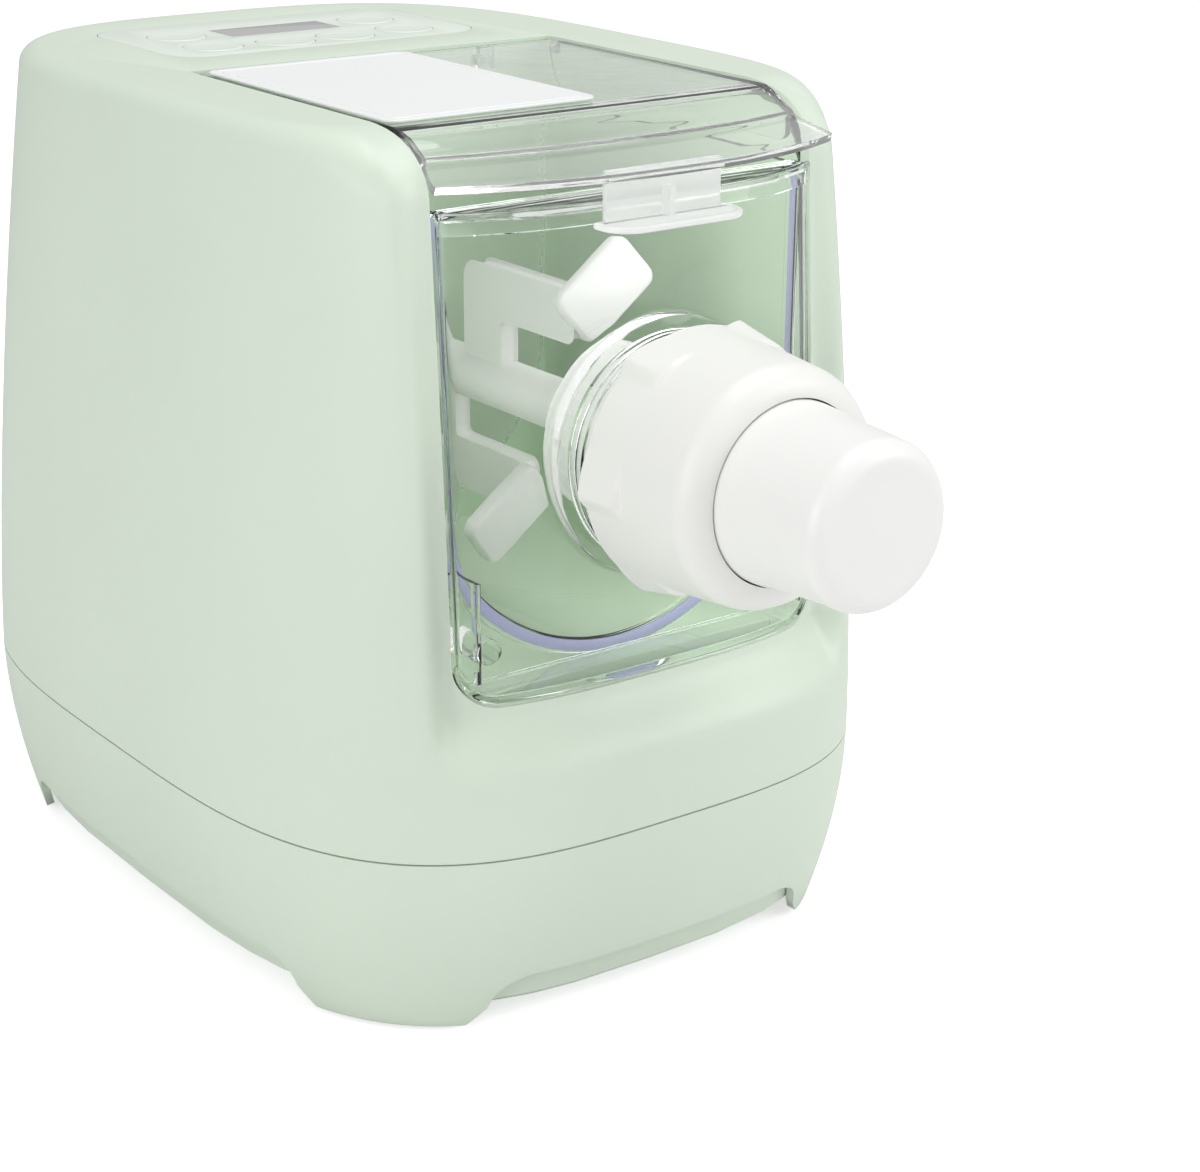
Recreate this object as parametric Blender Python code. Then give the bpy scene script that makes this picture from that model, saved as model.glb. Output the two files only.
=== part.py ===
"""Electric pasta maker: housing, mixing chamber, geared drive, extruder, keys and clear lid.

Metres, +Z up. The front of the machine faces -Y and the rest plane is Z = 0.
"""

import math

import bmesh
import bpy
from mathutils import Matrix, Vector

for old in list(bpy.data.objects):
    bpy.data.objects.remove(old, do_unlink=True)

# General allowances
GAP = 0.0003
RUN_CLEARANCE = 0.0003
OVERRUN = 0.004
WALL = 0.003

# Housing body, measured from the body's centre line
HEIGHT = 0.285
SEAM_Z = 0.0636
SEAM_HALF_X = 0.1202
SEAM_HALF_Y = 0.1602
TOP_HALF_X = 0.1033
TOP_HALF_Y = 0.1450
TOP_LEAN_Y = -0.0062
FOOT_HALF_X = 0.1107
FOOT_HALF_Y = 0.1490
TAPER_POWER = 1.49
FOOT_POWER = 1.86
PLAN_POWER_X = 3.2
PLAN_POWER_Y = 3.5
EDGE_RADIUS = 0.006
FRONT_EDGE_RADIUS = 0.0185
SEAM_REVEAL = 0.0006

# Mixing and extruding axis, set down from the deck
AXIS_DROP = 0.0995
AXIS_Z = HEIGHT - AXIS_DROP

# Window in the front and top of the housing
WINDOW_HALF_X = 0.0720
CHAMBER_DROP = 0.0752
WINDOW_LOW_Z = AXIS_Z - CHAMBER_DROP
WINDOW_CORNER = 0.0145
WINDOW_REAR_Y = 0.0128
DISH_DEPTH = 0.0112
DISH_EASE = 0.0035
DISH_SIDE = 0.0130
DISH_BELOW = 0.0210

# Base ring, tray and feet
BASE_LOW_Z = 0.0015
TONGUE_RISE = 0.0040
TONGUE_WALL = 0.0020
TONGUE_CLEARANCE = 0.0005
ARCH_RISE = 0.0195
ARCH_SHOULDER_Z = 0.0085
ARCH_HALF_X = 0.0690
ARCH_SIDE_LOW_Y = -0.1010
ARCH_SIDE_HIGH_Y = 0.0920
ARCH_SLOPE = 0.0055
ARCH_CURVE = 0.0140
TRAY_LOW_Z = 0.0070
TRAY_FLOOR = 0.0025
TRAY_WALL = 0.0022
TRAY_RISE = 0.0140
FOOT_PAD_RADIUS = 0.0085
FOOT_PAD_X = 0.0800
FOOT_PAD_Y = 0.1080
FOOT_SPIGOT_RADIUS = 0.0030
VENT_COUNT = 5
VENT_HALF_LENGTH = 0.0170
VENT_HEIGHT = 0.0030
VENT_PITCH = 0.0085
VENT_LOW_Z = 0.0800
VENT_COLUMN_X = 0.0240
TRAY_VENT_COUNT = 5
TRAY_VENT_Y = 0.0900

# Chamber liner
LINER_WALL = 0.0022
LINER_SHAFT_HOLE_RADIUS = 0.0120
LINER_EDGE_GAP = 0.0012

# Mixing cup
CUP_SIDE_CLEARANCE = 0.0025
CUP_HALF_X = WINDOW_HALF_X - CUP_SIDE_CLEARANCE
CUP_RIM_SIDE_CLEARANCE = 0.0010
CUP_RIM_HALF_X = WINDOW_HALF_X - CUP_RIM_SIDE_CLEARANCE
CUP_FLOOR_CLEARANCE = 0.0004
CUP_RIM_RADIUS = CHAMBER_DROP - CUP_FLOOR_CLEARANCE
CUP_RIM_RISE = 0.0033
CUP_RADIUS = CUP_RIM_RADIUS - CUP_RIM_RISE
CUP_WALL = 0.0025
CUP_TOP_DROP = 0.0230
CUP_TOP_Z = HEIGHT - CUP_TOP_DROP
CUP_REAR_CLEARANCE = 0.0020
CUP_REAR_Y = WINDOW_REAR_Y - CUP_REAR_CLEARANCE
CUP_RIM_THICK = 0.0035
SEAL_OUTER_RADIUS = 0.0090
SEAL_INNER_RADIUS = 0.0054
GASKET_THICK = 0.0012
GASKET_BAND = 0.0035

# Front plate and its collar
PLATE_SIDE_CLEARANCE = 0.0007
PLATE_HALF_X = WINDOW_HALF_X - PLATE_SIDE_CLEARANCE
PLATE_LOW_CLEARANCE = 0.0005
PLATE_LOW_Z = WINDOW_LOW_Z + PLATE_LOW_CLEARANCE
PLATE_TOP_DROP = 0.0220
PLATE_TOP_Z = HEIGHT - PLATE_TOP_DROP
PLATE_CORNER = WINDOW_CORNER - PLATE_LOW_CLEARANCE
PLATE_TOP_CORNER = 0.0030
PLATE_WALL = 0.0025
PLATE_LEAST_DEPTH = 0.0040
PLATE_BAND_DROP = 0.0065
PLATE_BAND_PROUD = 0.0008
COLLAR_RADIUS = 0.0369
COLLAR_BORE = 0.0334
COLLAR_LENGTH = 0.03855
BOSS_RADIUS = 0.0410
BOSS_RISE = 0.0040

# Extrusion barrel and screw
BARREL_BORE = 0.0220
BARREL_RADIUS = 0.0246
BARREL_REACH = 0.0048
BARREL_FLANGE_THICK = 0.0030
SCREW_CORE_RADIUS = 0.0090
SCREW_TIP_CORE_RADIUS = 0.0130
SCREW_RADIUS = 0.0210
SCREW_LEAD = 0.0260
SCREW_OVERHANG = 0.0070
SCREW_SETBACK = 0.0015

# Ring nut
NUT_COVER = 0.0220
NUT_LENGTH = 0.0455
NUT_REAR_RADIUS = 0.0408
NUT_FRONT_RADIUS = 0.0376
NUT_NOSE_RADIUS = 0.0090
NUT_BORE_RADIUS = 0.0375
NUT_RIBS = 6
NUT_RIB_HEIGHT = 0.0028
NUT_RIB_LENGTH = 0.0280
NUT_RIB_PHASE_DEG = 6.6
NUT_RIB_RISE_DEG = 22.0
NUT_RIB_FALL_DEG = 6.0
NUT_PLACE_SHARES = (0, 0.12, 0.24, 0.37, 0.47, 0.63, 0.82)
NUT_CONE_SHARES = (0.2, 0.45, 0.7, 1)
NUT_NOSE_SHARES = (0.35, 0.7, 1)

# Extruder head and die
HEAD_ROOT_RADIUS = 0.0281
HEAD_TIP_RADIUS = 0.0254
HEAD_REACH = 0.0415
HEAD_TIP_ROUND = 0.0065
HEAD_FLANGE_RADIUS = 0.0365
HEAD_FLANGE_THICK = 0.0030
HEAD_WALL = 0.0030
DIE_HALF_ANGLE_DEG = 36.0
DIE_SETBACK = 0.0040
DIE_LENGTH = 0.0300
DIE_THICK = 0.0022
DIE_HOLE_RADIUS = 0.0016
DIE_ROWS = 4
DIE_COLUMNS = 4

# Mixing paddle
PADDLE_SHAFT_RADIUS = 0.0085
PADDLE_SEAL_DEPTH = 0.0058
PADDLE_REAR_Y = CUP_REAR_Y - PADDLE_SEAL_DEPTH
PADDLE_ARM_THICK = 0.0070
PADDLE_ARM_WIDTH = 0.0180
PADDLE_ARM_SHARE = 0.517
PADDLE_BAR_LOW = 0.0240
PADDLE_BAR_HIGH = 0.0390
PADDLE_BAR_SHARE = 0.415
PADDLE_BLADE_LENGTH = 0.0290
PADDLE_BLADE_WIDTH = 0.0200
PADDLE_BLADE_THICK = 0.0060
PADDLE_BLADE_TILT_DEG = 38.0
SOCKET_DEPTH = 0.0170

# Lid
LID_SIDE_CLEARANCE = 0.0017
LID_HALF_X = WINDOW_HALF_X - LID_SIDE_CLEARANCE
LID_TOP_DROP = 0.0005
LID_TOP_Z = HEIGHT - LID_TOP_DROP
LID_THICK = 0.0026
LID_CROWN_SETBACK = 0.0442
LID_LIP_MID_REACH = 0.0013
LID_LIP_STANDOFF = 0.0102
LID_LIP_OVERHANG = 0.0028
LID_LIP_HALF_X = WINDOW_HALF_X + LID_LIP_OVERHANG
LID_LIP_DROP = 0.0123
LID_LIP_Z = LID_TOP_Z - LID_LIP_DROP
LID_BULGE_POWER = 2.4
LID_FLARE_SHARE = 0.5
LID_SKIRT_THICK = 0.0020
LID_SKIRT_DROP = 0.0180
LID_SKIRT_LOW_Z = LID_TOP_Z - LID_SKIRT_DROP
LID_SKIRT_REACH = 0.0150
LID_TONGUE_WIDTH = 0.0060
LID_TONGUE_THICK = 0.0025
LID_TONGUE_NOSE = 0.0038
LID_REAR_CLEARANCE = 0.0036
LID_REAR_Y = WINDOW_REAR_Y - LID_REAR_CLEARANCE
LID_EDGE = 0.0006
LID_VISOR_SHARES = (
    (0.00, 0.00),
    (0.09, 0.02),
    (0.19, 0.10),
    (0.30, 0.24),
    (0.42, 0.41),
    (0.52, 0.53),
    (0.57, 0.64),
    (0.72, 0.78),
    (0.88, 0.92),
    (1.00, 1.00),
)
HINGE_SETBACK = 0.0083
HINGE_Y = WINDOW_REAR_Y - HINGE_SETBACK
HINGE_DROP = 0.0053
HINGE_Z = LID_TOP_Z - HINGE_DROP
HINGE_PIN_RADIUS = 0.0012
HINGE_PIN_ENGAGE = 0.0022
LABEL_LOW_X = -0.0655
LABEL_HIGH_X = 0.0060
LABEL_FRONT_MARGIN = 0.0025
LABEL_REAR_MARGIN = 0.0062
LABEL_HIGH_Y = LID_REAR_Y - LABEL_REAR_MARGIN
LABEL_CORNER = 0.0060
LABEL_THICK = 0.0008
TAB_HALF_X = 0.0215
TAB_SHELF_HALF_X = 0.0255
TAB_PANEL_SETBACK = 0.0070
TAB_THICK = 0.0020
TAB_SHELF_DROP = 0.0270
TAB_SHELF_Z = LID_TOP_Z - TAB_SHELF_DROP
TAB_SHELF_REACH = 0.0125
TAB_SHELF_CORNER = 0.0070

# Control panel, keys and display
PANEL_HALF_X = 0.0620
PANEL_PLACE_SHARE = 0.5058333
PANEL_MIDDLE_Y = WINDOW_REAR_Y + PANEL_PLACE_SHARE * (TOP_LEAN_Y + TOP_HALF_Y - EDGE_RADIUS - WINDOW_REAR_Y)
PANEL_HALF_Y = 0.0365
PANEL_LOW_Y = PANEL_MIDDLE_Y - PANEL_HALF_Y
PANEL_HIGH_Y = PANEL_MIDDLE_Y + PANEL_HALF_Y
PANEL_CORNER = 0.0140
PANEL_RIM = 0.0025
PANEL_RIM_THICK = 0.0015
PANEL_THICK = 0.0034
KEY_RADIUS = 0.0105
KEY_PROUD = 0.0002
KEY_EDGE = 0.0006
KEY_TRAVEL = 0.0008
KEY_FLANGE = 0.0010
KEY_FLANGE_THICK = 0.0008
KEY_STEM_RADIUS = 0.0028
KEY_OUTER_X = 0.0390
KEY_INNER_X = 0.0122
KEY_REAR_ROW_STEP = 0.0099
KEY_REAR_ROW_Y = PANEL_MIDDLE_Y + KEY_REAR_ROW_STEP
KEY_FRONT_ROW_STEP = 0.0170
KEY_FRONT_ROW_Y = PANEL_MIDDLE_Y - KEY_FRONT_ROW_STEP
KEY_INNER_ROW_STEP = 0.0202
KEY_INNER_ROW_Y = PANEL_MIDDLE_Y - KEY_INNER_ROW_STEP
DISPLAY_HALF_X = 0.0220
DISPLAY_SETBACK = 0.0010
DISPLAY_DEPTH = 0.0185
DISPLAY_LOW_Y = PANEL_MIDDLE_Y - DISPLAY_SETBACK
DISPLAY_HIGH_Y = DISPLAY_LOW_Y + DISPLAY_DEPTH
DISPLAY_CORNER = 0.0010
DISPLAY_THICK = 0.0015
DISPLAY_LEDGE = 0.0020
LCD_THICK = 0.0030
LCD_MARGIN = 0.0015
BOARD_THICK = 0.0016
BOARD_DROP = 0.0128
BOARD_TOP_Z = HEIGHT - BOARD_DROP
BOARD_HALF_X = 0.0560
BOARD_HALF_Y = 0.0305
BOARD_LOW_Y = PANEL_MIDDLE_Y - BOARD_HALF_Y
BOARD_HIGH_Y = PANEL_MIDDLE_Y + BOARD_HALF_Y
BOARD_POST_RADIUS = 0.0030
BOARD_POST_INSET = 0.0040
TACT_HALF = 0.0030

# Power board in the base
POWER_HALF_X = 0.0550
POWER_LOW_Y = -0.0950
POWER_HIGH_Y = -0.0150
POWER_Z = 0.0240
POWER_POST_RADIUS = 0.0035
RELAY_SIZE = (0.0190, 0.0150, 0.0160)
CAPACITOR_RADIUS = 0.0080
CAPACITOR_HEIGHT = 0.0250
CHOKE_SIZE = (0.0260, 0.0220, 0.0200)

# Gear train: output gear, cluster gear and motor pinion on one upright line
OUTPUT_TEETH = 40
OUTPUT_PINION_TEETH = 10
OUTPUT_MODULE = 0.0020
INPUT_TEETH = 48
INPUT_PINION_TEETH = 10
INPUT_MODULE = 0.00125
TOOTH_THICK_SHARE = 0.44
TOOTH_TIP_SHARE = 0.9
TOOTH_ROOT_SHARE = 1.2

# Gearbox, shaft and bearings
CASE_FRONT_Y = WINDOW_REAR_Y + LINER_WALL + GAP
CASE_WALL = 0.0030
CASE_HALF_X = 0.0462
CASE_DROP = 0.1005
CASE_RISE = 0.0465
CASE_LOW_Z = AXIS_Z - CASE_DROP
CASE_HIGH_Z = AXIS_Z + CASE_RISE
CASE_CORNER = 0.0300
CASE_DEPTH = 0.0370
COVER_Y = CASE_FRONT_Y + CASE_DEPTH
SHAFT_RADIUS = 0.0050
SHAFT_REACH = 0.0218
SHAFT_FRONT_Y = CUP_REAR_Y - SHAFT_REACH
BUSH_RADIUS = 0.0085
BUSH_LENGTH = 0.0060
BUSH_BOSS_RADIUS = 0.0120
AXLE_RADIUS = 0.0030
BRACKET_HALF_X = 0.0300
BRACKET_THICK = 0.0020
BRACKET_INSET = 0.0027
BRACKET_LOW_Y = CASE_FRONT_Y + BRACKET_INSET
BRACKET_HIGH_Y = COVER_Y - BRACKET_INSET

# Places of the gears along the case
OUTPUT_GEAR_SETBACK = 0.0072
OUTPUT_GEAR_FACE = 0.0105
PINION_EXTRA_FACE = 0.0005
INPUT_GEAR_SETBACK = 0.0207
INPUT_GEAR_FACE = 0.0080
OUTPUT_GEAR_LOW_Y = CASE_FRONT_Y + OUTPUT_GEAR_SETBACK
OUTPUT_GEAR_HIGH_Y = OUTPUT_GEAR_LOW_Y + OUTPUT_GEAR_FACE
INPUT_GEAR_LOW_Y = CASE_FRONT_Y + INPUT_GEAR_SETBACK
INPUT_GEAR_HIGH_Y = INPUT_GEAR_LOW_Y + INPUT_GEAR_FACE

# Motor
MOTOR_RADIUS = 0.0270
MOTOR_LENGTH = 0.0600
MOTOR_WALL = 0.0020
MOTOR_NOSE_RADIUS = 0.0100
STATOR_THICK = 0.0060
ROTOR_RADIUS = 0.0150
ROTOR_LENGTH = 0.0360
ROTOR_SLOTS = 10
ROTOR_POLE_SHARE = 0.42
ROTOR_SLOT_ROOT_SHARE = 0.7
MOTOR_SHAFT_RADIUS = 0.0025
FAN_RADIUS = 0.0230
FAN_HUB_RADIUS = 0.0070
FAN_THICK = 0.0080
FAN_BLADES = 7
FAN_LEADING_SHARES = (0, 0.10, 0.34)
FAN_TRAILING_SHARES = (0.35, 0.30, 0.46)
FAN_GAP = 0.0030

# Safety switch
SWITCH_X = 0.0410
SWITCH_DROP = 0.0080
SWITCH_Z = LID_TOP_Z - SWITCH_DROP
SWITCH_TONGUE_DROP = 0.0019
LID_TONGUE_LOW_Z = SWITCH_Z - SWITCH_TONGUE_DROP
PLUNGER_HALF_X = 0.0015
PLUNGER_HALF_Z = 0.0020
PLUNGER_PROUD = 0.0008
PLUNGER_TRAVEL = 0.0015
PLUNGER_LENGTH = 0.0080
SWITCH_HALF_X = 0.0100
SWITCH_HALF_Z = 0.0035
SWITCH_DEPTH = 0.0090

# Cord gland in the rear of the base
GLAND_X = 0.0400
GLAND_Z = 0.0340
GLAND_RADIUS = 0.0080
GLAND_FLANGE_RADIUS = 0.0100
GLAND_FLANGE_THICK = 0.0012
GLAND_BORE_RADIUS = 0.0036
GLAND_LENGTH = 0.0100

# Mesh fineness
RING_STEPS = 48
ROUND_STEPS = 32
SMALL_STEPS = 16
KEY_STEPS = 18
MOTOR_STEPS = 24
TINY_STEPS = 10
CORNER_STEPS = 5
SMOOTH_ANGLE = math.radians(32)

FINISHES = {
    "mint_plastic": ((0.66, 0.74, 0.64), 0.42, 0.0),
    "mint_inner": ((0.60, 0.72, 0.60), 0.45, 0.0),
    "panel_plastic": ((0.70, 0.78, 0.69), 0.35, 0.0),
    "clear_plastic": ((0.86, 0.92, 0.90), 0.08, 0.0),
    "frosted_plastic": ((0.88, 0.91, 0.88), 0.35, 0.0),
    "white_plastic": ((0.84, 0.85, 0.83), 0.38, 0.0),
    "label_film": ((0.88, 0.90, 0.88), 0.50, 0.0),
    "display_grey": ((0.42, 0.43, 0.43), 0.20, 0.0),
    "dark_rubber": ((0.05, 0.05, 0.05), 0.80, 0.0),
    "violet_seal": ((0.45, 0.47, 0.72), 0.45, 0.0),
    "steel": ((0.62, 0.63, 0.65), 0.30, 1.0),
    "zinc_steel": ((0.55, 0.57, 0.60), 0.40, 1.0),
    "bronze": ((0.56, 0.38, 0.18), 0.35, 1.0),
    "gear_nylon": ((0.80, 0.80, 0.76), 0.50, 0.0),
    "circuit_board": ((0.05, 0.22, 0.12), 0.45, 0.0),
    "black_plastic": ((0.03, 0.03, 0.03), 0.45, 0.0),
}


def finish_material(name):
    """The named Principled material, made once and shared."""
    if name in bpy.data.materials:
        return bpy.data.materials[name]
    colour, roughness, metallic = FINISHES[name]
    made = bpy.data.materials.new(name)
    made.use_nodes = True
    shader = made.node_tree.nodes["Principled BSDF"]
    shader.inputs["Base Color"].default_value = (*colour, 1)
    shader.inputs["Roughness"].default_value = roughness
    shader.inputs["Metallic"].default_value = metallic
    made.diffuse_color = (*colour, 1)
    return made


def new_object(name, shape, finish, origin):
    """A mesh object whose origin stands on the given point of the machine's frame."""
    points, faces = shape
    mesh = bpy.data.meshes.new(name)
    mesh.from_pydata([Vector(p) - Vector(origin) for p in points], [], faces)
    work = bmesh.new()
    work.from_mesh(mesh)
    bmesh.ops.recalc_face_normals(work, faces=work.faces)
    work.to_mesh(mesh)
    work.free()
    mesh.materials.append(finish_material(finish))
    made = bpy.data.objects.new(name, mesh)
    made.location = origin
    made.parent = MACHINE
    bpy.context.scene.collection.objects.link(made)
    return made


def apply_boolean(target, shape, operation):
    """Joins, cuts or keeps the shared part of the target and a closed shape, by an applied Boolean."""
    tool = new_object("tool", shape, "steel", target.location)
    tool.display_type = "WIRE"
    tool.hide_render = True
    step = target.modifiers.new(operation.lower(), "BOOLEAN")
    step.operation = operation
    step.object = tool
    graph = bpy.context.evaluated_depsgraph_get()
    result = bpy.data.meshes.new_from_object(target.evaluated_get(graph))
    target.modifiers.clear()
    target.data = result
    bpy.data.objects.remove(tool, do_unlink=True)


def build(name, shape, finish, joins=(), cuts=(), keep=None, origin=(0, 0, 0)):
    """A finished sub-part: its main shape, what is joined to it, what is cut from it, and smooth shading."""
    made = new_object(name, shape, finish, origin)
    for extra in joins:
        apply_boolean(made, extra, "UNION")
    if keep is not None:
        apply_boolean(made, keep, "INTERSECT")
    for cutter in cuts:
        apply_boolean(made, cutter, "DIFFERENCE")
    made.data.name = name
    made.data.shade_smooth()
    made.data.set_sharp_from_angle(angle=SMOOTH_ANGLE)
    return made


def loft(rings, closed=False):
    """Skins rings of equal length. An open stack is capped at both ends, a closed one joins up."""
    count = len(rings[0])
    points = [p for ring in rings for p in ring]
    faces = []
    spans = len(rings) if closed else len(rings) - 1
    for k in range(spans):
        low = k * count
        high = (k + 1) % len(rings) * count
        for i in range(count):
            j = (i + 1) % count
            faces.append((low + i, low + j, high + j, high + i))
    if not closed:
        faces.append(tuple(range(count)))
        faces.append(tuple(range((len(rings) - 1) * count, len(rings) * count)))
    return points, faces


def along(axis, u, v, w):
    """The point at u, v in the plane square to an axis and w along it."""
    return {"X": (w, u, v), "Y": (u, w, v), "Z": (u, v, w)}[axis]


def prism(outline, axis, low, high):
    """An outline carried straight along an axis."""
    return loft([[along(axis, u, v, w) for u, v in outline] for w in (low, high)])


def box(low, high):
    """A block between two corners."""
    outline = [(low[0], low[1]), (high[0], low[1]), (high[0], high[1]), (low[0], high[1])]
    return prism(outline, "Z", low[2], high[2])


def arc(centre, radius, start, end, steps):
    """Points of an arc in a plane, angles in radians."""
    turns = [start + (end - start) * k / steps for k in range(steps + 1)]
    return [(centre[0] + radius * math.cos(t), centre[1] + radius * math.sin(t)) for t in turns]


def round_rectangle(low_u, high_u, low_v, high_v, radii, steps=CORNER_STEPS):
    """A rectangle with a radius for each corner, from low u and low v, anticlockwise."""
    corners = ((low_u, low_v), (high_u, low_v), (high_u, high_v), (low_u, high_v))
    outline = []
    for k, (corner, radius) in enumerate(zip(corners, radii)):
        if radius == 0:
            outline.append(corner)
            continue
        inward_u = 1 if corner[0] == low_u else -1
        inward_v = 1 if corner[1] == low_v else -1
        centre = (corner[0] + inward_u * radius, corner[1] + inward_v * radius)
        start = math.pi + k * math.pi / 2
        outline += arc(centre, radius, start, start + math.pi / 2, steps)
    return outline


def circle(centre, radius, steps, phase=0):
    """Points round a full circle."""
    return arc(centre, radius, phase, phase + 2 * math.pi, steps)[:-1]


def rod(axis, centre, radius, low, high, steps=SMALL_STEPS):
    """A plain round rod along an axis."""
    return prism(circle(centre, radius, steps), axis, low, high)


def turned(profile, centre, steps=ROUND_STEPS, axis="Y", closed=True):
    """A profile of (place along the axis, radius) turned about an axis through the centre."""
    rings = []
    for place, radius in profile:
        rings.append([along(axis, u, v, place) for u, v in circle(centre, radius, steps)])
    return loft(rings, closed)


def plan_turns():
    """Places round the body's outline, closer together where the front dips into the dish."""
    turns = [2 * math.pi * k / RING_STEPS for k in range(RING_STEPS)]
    step = turns[1] / 2
    near = (13, 15, 17)
    turns += [2 * math.pi - k * step for k in near]
    turns += [math.pi + k * step for k in near]
    return sorted(turns)


def taper(z):
    """Half width, half depth and centre of the body's outline at a height."""
    if z >= SEAM_Z:
        rise = min(1, (z - SEAM_Z) / (HEIGHT - SEAM_Z))
        share = rise**TAPER_POWER
        half_x = SEAM_HALF_X + (TOP_HALF_X - SEAM_HALF_X) * share
        half_y = SEAM_HALF_Y + (TOP_HALF_Y - SEAM_HALF_Y) * share
        return half_x, half_y, TOP_LEAN_Y * rise
    share = (1 - z / SEAM_Z) ** FOOT_POWER
    half_x = SEAM_HALF_X - (SEAM_HALF_X - FOOT_HALF_X) * share
    half_y = SEAM_HALF_Y - (SEAM_HALF_Y - FOOT_HALF_Y) * share
    return half_x, half_y, 0


def signed_power(value, power):
    return math.copysign(abs(value) ** power, value)


def plan_point(turn, z, inset):
    """A point of the body's rounded-square outline at a height, moved in by an inset."""
    half_x, half_y, centre_y = taper(z)
    x = (half_x - inset) * signed_power(math.cos(turn), 2 / PLAN_POWER_X)
    y = (half_y - inset) * signed_power(math.sin(turn), 2 / PLAN_POWER_Y)
    return x, centre_y + y


def front_y(x, z, inset=0):
    """The body's front surface at a place across it, before the dish round the window."""
    half_x, half_y, centre_y = taper(z)
    share = 1 - (abs(x) / (half_x - inset)) ** PLAN_POWER_X
    return centre_y - (half_y - inset) * share ** (1 / PLAN_POWER_Y)


def dish_full(z):
    """How far the window's edge lies behind the body's front outline."""
    rise = max(0, (z - WINDOW_LOW_Z) / (HEIGHT - WINDOW_LOW_Z))
    return DISH_DEPTH - DISH_EASE * rise**3


def dish(x, z):
    """The dish round the window: full inside it, fading smoothly to nothing at its contour."""
    across = max(0, abs(x) - WINDOW_HALF_X) / DISH_SIDE
    below = max(0, WINDOW_LOW_Z - z) / DISH_BELOW
    share = max(0, 1 - math.hypot(across, below))
    return dish_full(z) * share * share * (3 - 2 * share)


def shoulder_radius(turn):
    """Radius of the body's top edge: small at the sides and rear, larger over the front cheeks."""
    share = max(0, -math.sin(turn))
    share = min(1, share * 3 / 2) ** 4
    return EDGE_RADIUS + (FRONT_EDGE_RADIUS - EDGE_RADIUS) * share


def body_rings(inset, low_z, top_z, row_shares, shoulder_rows):
    """Rings of the housing's surface from a low edge, up the wall and round the shoulder to the deck."""
    turns = plan_turns()
    rings = []
    for share in row_shares:
        ring = []
        for turn in turns:
            z = low_z + (top_z - shoulder_radius(turn) - low_z) * share
            x, y = plan_point(turn, z, inset)
            ring.append((x, y + (dish(x, z) if y < 0 else 0), z))
        rings.append(ring)
    for k in range(1, shoulder_rows + 1):
        bend = math.pi / 2 * k / shoulder_rows
        ring = []
        for turn in turns:
            radius = shoulder_radius(turn)
            z = top_z - radius + radius * math.sin(bend)
            x, y = plan_point(turn, z, inset + radius * (1 - math.cos(bend)))
            ring.append((x, y + (dish(x, z) if y < 0 else 0), z))
        rings.append(ring)
    return rings


def ring_profile(profile):
    """A closed wall section of (inset, height) points carried round the body's outline."""
    turns = plan_turns()
    return loft([[(*plan_point(t, z, inset), z) for t in turns] for inset, z in profile], closed=True)


def window_outline(inset, low_z, high_z, corner):
    """The window's outline, square at the top and rounded below."""
    half = WINDOW_HALF_X - inset
    return round_rectangle(-half, half, low_z, high_z, (corner, corner, 0, 0))


def panel_outline(inset):
    """Outline of the control panel in the deck."""
    radius = PANEL_CORNER - inset
    low, high = PANEL_LOW_Y + inset, PANEL_HIGH_Y - inset
    return round_rectangle(-PANEL_HALF_X + inset, PANEL_HALF_X - inset, low, high, (radius,) * 4)


def plate_y(x, z):
    """The plate's front surface, level with the window's edge."""
    return front_y(x, z) + dish_full(z)


# Places that follow the housing's front
TOP_FRONT_Y = front_y(0, HEIGHT)
PLATE_MIDDLE_Y = plate_y(0, AXIS_Z)
plate_corners = [plate_y(PLATE_HALF_X, z) for z in (PLATE_LOW_Z, AXIS_Z, PLATE_TOP_Z)]
PLATE_BACK_Y = max(plate_corners) + PLATE_LEAST_DEPTH
GASKET_FRONT_Y = PLATE_BACK_Y + GAP
GASKET_BACK_Y = GASKET_FRONT_Y + GASKET_THICK
CUP_FRONT_Y = GASKET_BACK_Y + GAP
BARREL_REAR_Y = CUP_FRONT_Y + BARREL_REACH
SCREW_REAR_Y = BARREL_REAR_Y + SCREW_OVERHANG
PADDLE_ARM_Y = PADDLE_REAR_Y - PADDLE_ARM_SHARE * (PADDLE_REAR_Y - SCREW_REAR_Y)
PADDLE_BAR_LENGTH = PADDLE_BAR_SHARE * (PADDLE_REAR_Y - SCREW_REAR_Y)
COLLAR_FRONT_Y = PLATE_MIDDLE_Y - COLLAR_LENGTH
SCREW_FRONT_Y = COLLAR_FRONT_Y + SCREW_SETBACK
NUT_REAR_Y = COLLAR_FRONT_Y + NUT_COVER
NUT_FRONT_Y = NUT_REAR_Y - NUT_LENGTH
NUT_RIB_END_Y = NUT_REAR_Y - NUT_RIB_LENGTH
HEAD_TIP_Y = NUT_FRONT_Y - HEAD_REACH
DIE_REAR_Y = NUT_FRONT_Y - DIE_SETBACK
DIE_FRONT_Y = DIE_REAR_Y - DIE_LENGTH
LID_CROWN_Y = TOP_FRONT_Y + LID_CROWN_SETBACK
LID_LIP_MID_Y = TOP_FRONT_Y - LID_LIP_MID_REACH
LID_LIP_SIDE_Y = plate_y(LID_LIP_HALF_X, LID_LIP_Z) - LID_LIP_STANDOFF
LID_SKIRT_FRONT_Y = LID_CROWN_Y - LID_SKIRT_REACH
LABEL_LOW_Y = LID_CROWN_Y + LABEL_FRONT_MARGIN
TAB_PANEL_Y = LID_LIP_MID_Y + TAB_PANEL_SETBACK
TAB_SHELF_FRONT_Y = TAB_PANEL_Y - TAB_SHELF_REACH
WINDOW_FRONT_Y = -max(SEAM_HALF_Y, TOP_HALF_Y - TOP_LEAN_Y) - OVERRUN
BODY_Y = (-HEAD_TIP_Y - SEAM_HALF_Y) / 2

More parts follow.
